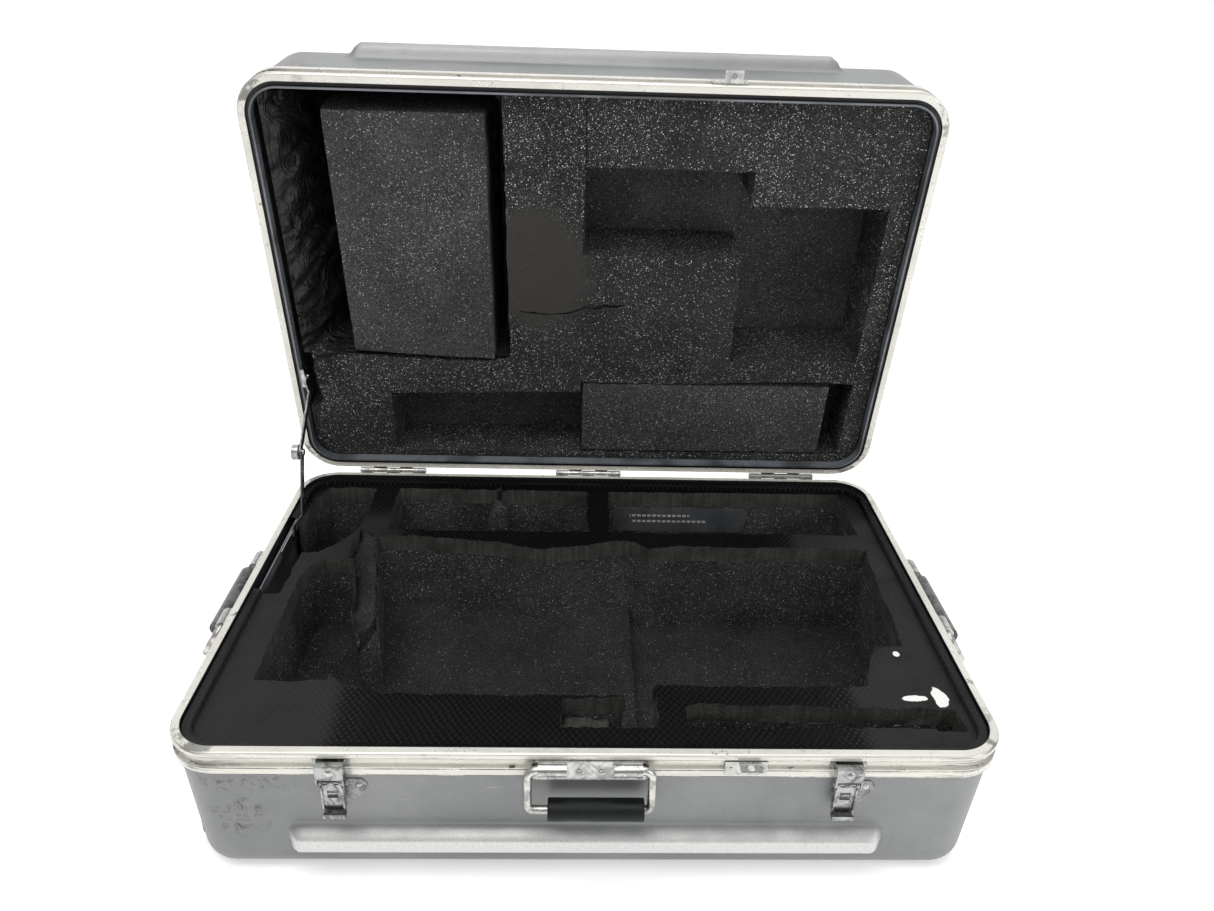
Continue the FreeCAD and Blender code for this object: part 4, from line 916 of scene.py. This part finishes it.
LID_BAY = [(-375, -248), (-104, -248), (-104, 60), (-104.5, 86), (-112, 90), (-130, 93), (-200, 92), (-280, 88),
           (-330, 86), (-348, 80), (-356, 82), (-362, 88), (-375, 90)]
UPPER_LEFT = [(-262, 143), (-200, 141), (-140, 139), (-100, 138), (-12, 136), (-12, 234), (-262, 235)]
INSERT_BAY = [(-12, 121), (60, 121), (150, 120), (230, 116), (300, 115), (347, 117), (346, 234), (-12, 234)]
TALL = [(181, -124), (344, -124), (344, 84), (300, 83), (240, 84), (180, 86), (178, 20), (178, -57)]
WIDE = [(-11.5, -165), (182, -164), (182, -57), (-11.5, -58)]
CRACK = [(-96, 19), (-60, 24), (-30, 22.5), (-12, 14), (4, 16), (14, 10), (28, 12), (46, 7), (28, 8.5), (12, 7),
         (-12, 11.5), (-32, 20), (-62, 21.6), (-96, 17.5)]
SEAM = [(-12.6, -239), (-11.6, -239), (-11.4, -168), (-11.8, -58), (-12.8, -58), (-12.5, -168)]
RELIEF = [(-375, -4), (-359, -4), (-354, 40), (-357, 100), (-353, 150), (-358, 168), (-375, 168)]

lid_regions = [Region(lid_outline, 0.0, 0)]
for number, (points, level, material, rough, amount) in enumerate((
        (SEAM, -5.0, 1, 0.0, 0.2), (CRACK, -6.0, 1, 0.6, 1.6), (UPPER_LEFT, -64.0, 1, 0.3, 1.1),
        (TALL, -90.0, 1, 0.3, 0.8), (WIDE, -84.0, 1, 0.3, 0.8), (INSERT_BAY, -62.0, 1, 0.3, 0.9),
        (RELIEF, -38.0, 1, 0.5, 1.4), (LID_BAY, None, 1, 0.0, 1.2))):
    lid_regions.append(Region(cut_line(lid_plan(points), 90 + 1.7 * number, amount, 4.0), level, material, rough))
flat, triangles, tops = terrace(lid_outline, lid_regions, -100.0, 12.0)
points, faces, indices = build_terrace(flat, triangles, tops, -100.0, [float(z) for z in range(-93, -2, 8)],
                                       lambda z, top: 0, foam_shape(1.0, 1.0))
lid_block = make("foam_lid_cut", points, faces, [FOAM_LID, FOAM_LID_DEEP], indices, place=in_lid, body="lid",
                 nodes=("lid_foam",))


def insert_bend(p):
    return Vector((p.x, p.y, p.z - 1.2 + 0.8 * math.sin(p.x * 0.012)))


foam_brick("foam_lid_plug", (-10.8, -230.8, -58.0), (317.4, -123.0, 0.6), ("lid_foam_insert",), body="lid",
           place=in_lid, step=8.0, material=FOAM_LOOSE, bend=insert_bend)


def loose_bend(p):
    top = max(0.0, (p.x + 302.0) / 179.0)
    share = min(1.0, max(0.0, (-p.y + 84.0) / 40.0 - 3.2))
    return Vector((p.x, p.y + (7.0 - 11.0 * top) * share, p.z + 1.5 * math.sin(p.x * 0.02)))


foam_brick("foam_lid_loose", (-301.5, -86.0, -90.0), (-123.5, 221.5, 0.5), ("lid_foam_loose",), body="lid",
           place=in_lid, step=7.0, material=FOAM_LOOSE, bend=loose_bend, corner=3.0)

# ---------------------------------------------------------------- lining film
def film_depth(x, y):
    """How far the film hangs below the foam face, in closed-lid plan; deep where it runs under the block."""
    gaps = ((x + 367.0) / 56.0, (-106.0 - x) / 14.0, (y + 239.0) / 15.0, (85.5 - y) / 5.0)
    inward = min(gaps)
    fall = smooth(inward, 0.0, 1.0) * 0.55 + 0.45 * min(1.0, max(0.0, inward))
    at = Vector((x, y, 0.0))
    fold = abs(noise.noise(at * 0.022 + Vector((0.012 * y, 4.0, 1.0)))) * 1.6
    fold += abs(noise.noise(Vector((x * 0.05 + y * 0.03, y * 0.02 - x * 0.02, 9.0)))) * 1.1
    fold += noise.noise(at * 0.11) * 0.35
    loose = max(0.0, math.sin(math.pi * min(1.0, max(0.0, gaps[0])))) * (0.35 + min(1.0, max(0.0, gaps[2] * 0.3)))
    return 3.0 + 121.0 * fall - 15.0 * loose * fold - 2.5 * fold * min(1.0, max(0.0, inward * 4))


columns, rows = 66, 82
points = []
for layer in (0.0, 0.4):
    for j in range(rows + 1):
        y = -239.0 + 324.5 * j / rows
        for i in range(columns + 1):
            s = i / columns
            x = -367.0 + 261.0 * (0.55 * s + 0.45 * s * s)
            points.append((x, -y, -film_depth(x, y) - layer))
faces = []
stride = columns + 1
size_of_layer = stride * (rows + 1)
for j in range(rows):
    for i in range(columns):
        a = j * stride + i
        faces.append((a, a + stride, a + stride + 1, a + 1))
        faces.append(tuple(size_of_layer + v for v in (a, a + 1, a + stride + 1, a + stride)))
border = ([i for i in range(columns)] + [j * stride + columns for j in range(rows)]
          + [rows * stride + i for i in range(columns, 0, -1)] + [j * stride for j in range(rows, 0, -1)])
for a, b in zip(border, border[1:] + border[:1]):
    faces.append((a, b, b + size_of_layer, a + size_of_layer))
lining = make("lining_film", points, faces, [FILM], place=in_lid, body="lid", nodes=("lid_lining",),
              sharp=70.0)


# ---------------------------------------------------------------- pocket label card
def label_card():
    p = Paint("label_card", 0.45, 0.0, Specular_IOR_Level=0.3)
    cloud = p.noise(40.0, 5.0, 0.65)
    scratch = p.noise(1.0, 5.0, 0.7, p.stretch((30.0, 30.0, 500.0)))
    colour = p.mix(p.ramp(cloud, 0.3, 0.7), (0.050, 0.054, 0.060), (0.078, 0.083, 0.090))
    for level, left, right in ((0.1175, 0.058, 0.142), (0.1085, 0.060, 0.166)):
        line = p.ramp(p.math("ABSOLUTE", p.math("SUBTRACT", p.z, level)), 0.0021, 0.0012)
        line = p.math("MULTIPLY", line, p.ramp(p.x, left, left + 0.001))
        line = p.math("MULTIPLY", line, p.ramp(p.x, right, right - 0.001))
        dash = p.ramp(p.math("SINE", p.math("MULTIPLY", p.x, 900.0)), -0.75, -0.45)
        worn = p.ramp(p.noise(420.0, 3.0), 0.36, 0.5, 0.35, 1.0)
        colour = p.mix(p.math("MULTIPLY", p.math("MULTIPLY", line, dash), worn), colour, (0.50, 0.50, 0.48))
    p.bump(scratch, 0.0001, 0.5)
    return p.finish(colour, p.ramp(cloud, 0.3, 0.7, 0.38, 0.55))


outline_card = []
for cx, cz, start in ((212.0, 119.0, 0), (40.0, 127.0, 90), (36.0, 95.0, 180), (209.0, 102.0, 270)):
    radius = 11.0 if cx > 100 else 2.5
    for step in range(7):
        angle = math.radians(start + 15 * step)
        outline_card.append((cx + radius * math.cos(angle), cz + radius * math.sin(angle)))
points = [(x, 232.6 + 0.5 * math.sin(x * 0.03), z) for x, z in outline_card]
points += [(x, 233.4 + 0.5 * math.sin(x * 0.03), z) for x, z in outline_card]
count = len(outline_card)
faces = [tuple(range(count)), tuple(reversed(range(count, 2 * count)))]
faces += [((k + 1) % count, k, k + count, (k + 1) % count + count) for k in range(count)]
make("label_blank", points, faces, [label_card()], nodes=("pocket_label",), sharp=30.0)

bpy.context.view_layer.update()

# ---------------------------------------------------------------- floor
sweep = [(-9.0, 0.0)] + [(2.2, 0.0)]
for step in range(1, 13):
    angle = math.pi / 2 * step / 12
    sweep.append((2.2 + 1.4 * math.sin(angle), 1.4 - 1.4 * math.cos(angle)))
sweep.append((3.6, 7.0))
floor_mesh = bpy.data.meshes.new("floor")
floor_points = [(x, y, z) for y, z in sweep for x in (-12.0, 12.0)]
floor_mesh.from_pydata(floor_points, [], [(2 * k, 2 * k + 1, 2 * k + 3, 2 * k + 2) for k in range(len(sweep) - 1)])
floor_mesh.shade_smooth()
floor = bpy.data.objects.new("floor", floor_mesh)
bpy.context.scene.collection.objects.link(floor)
paper = Paint("white_floor", 0.8, Emission_Color=(1, 1, 1, 1), Emission_Strength=0.34)
floor_mesh.materials.append(paper.finish(paper.mix(paper.noise(3.0, 3.0), (0.95, 0.95, 0.945), (0.97, 0.97, 0.965))))
floor.location.z = -0.0002
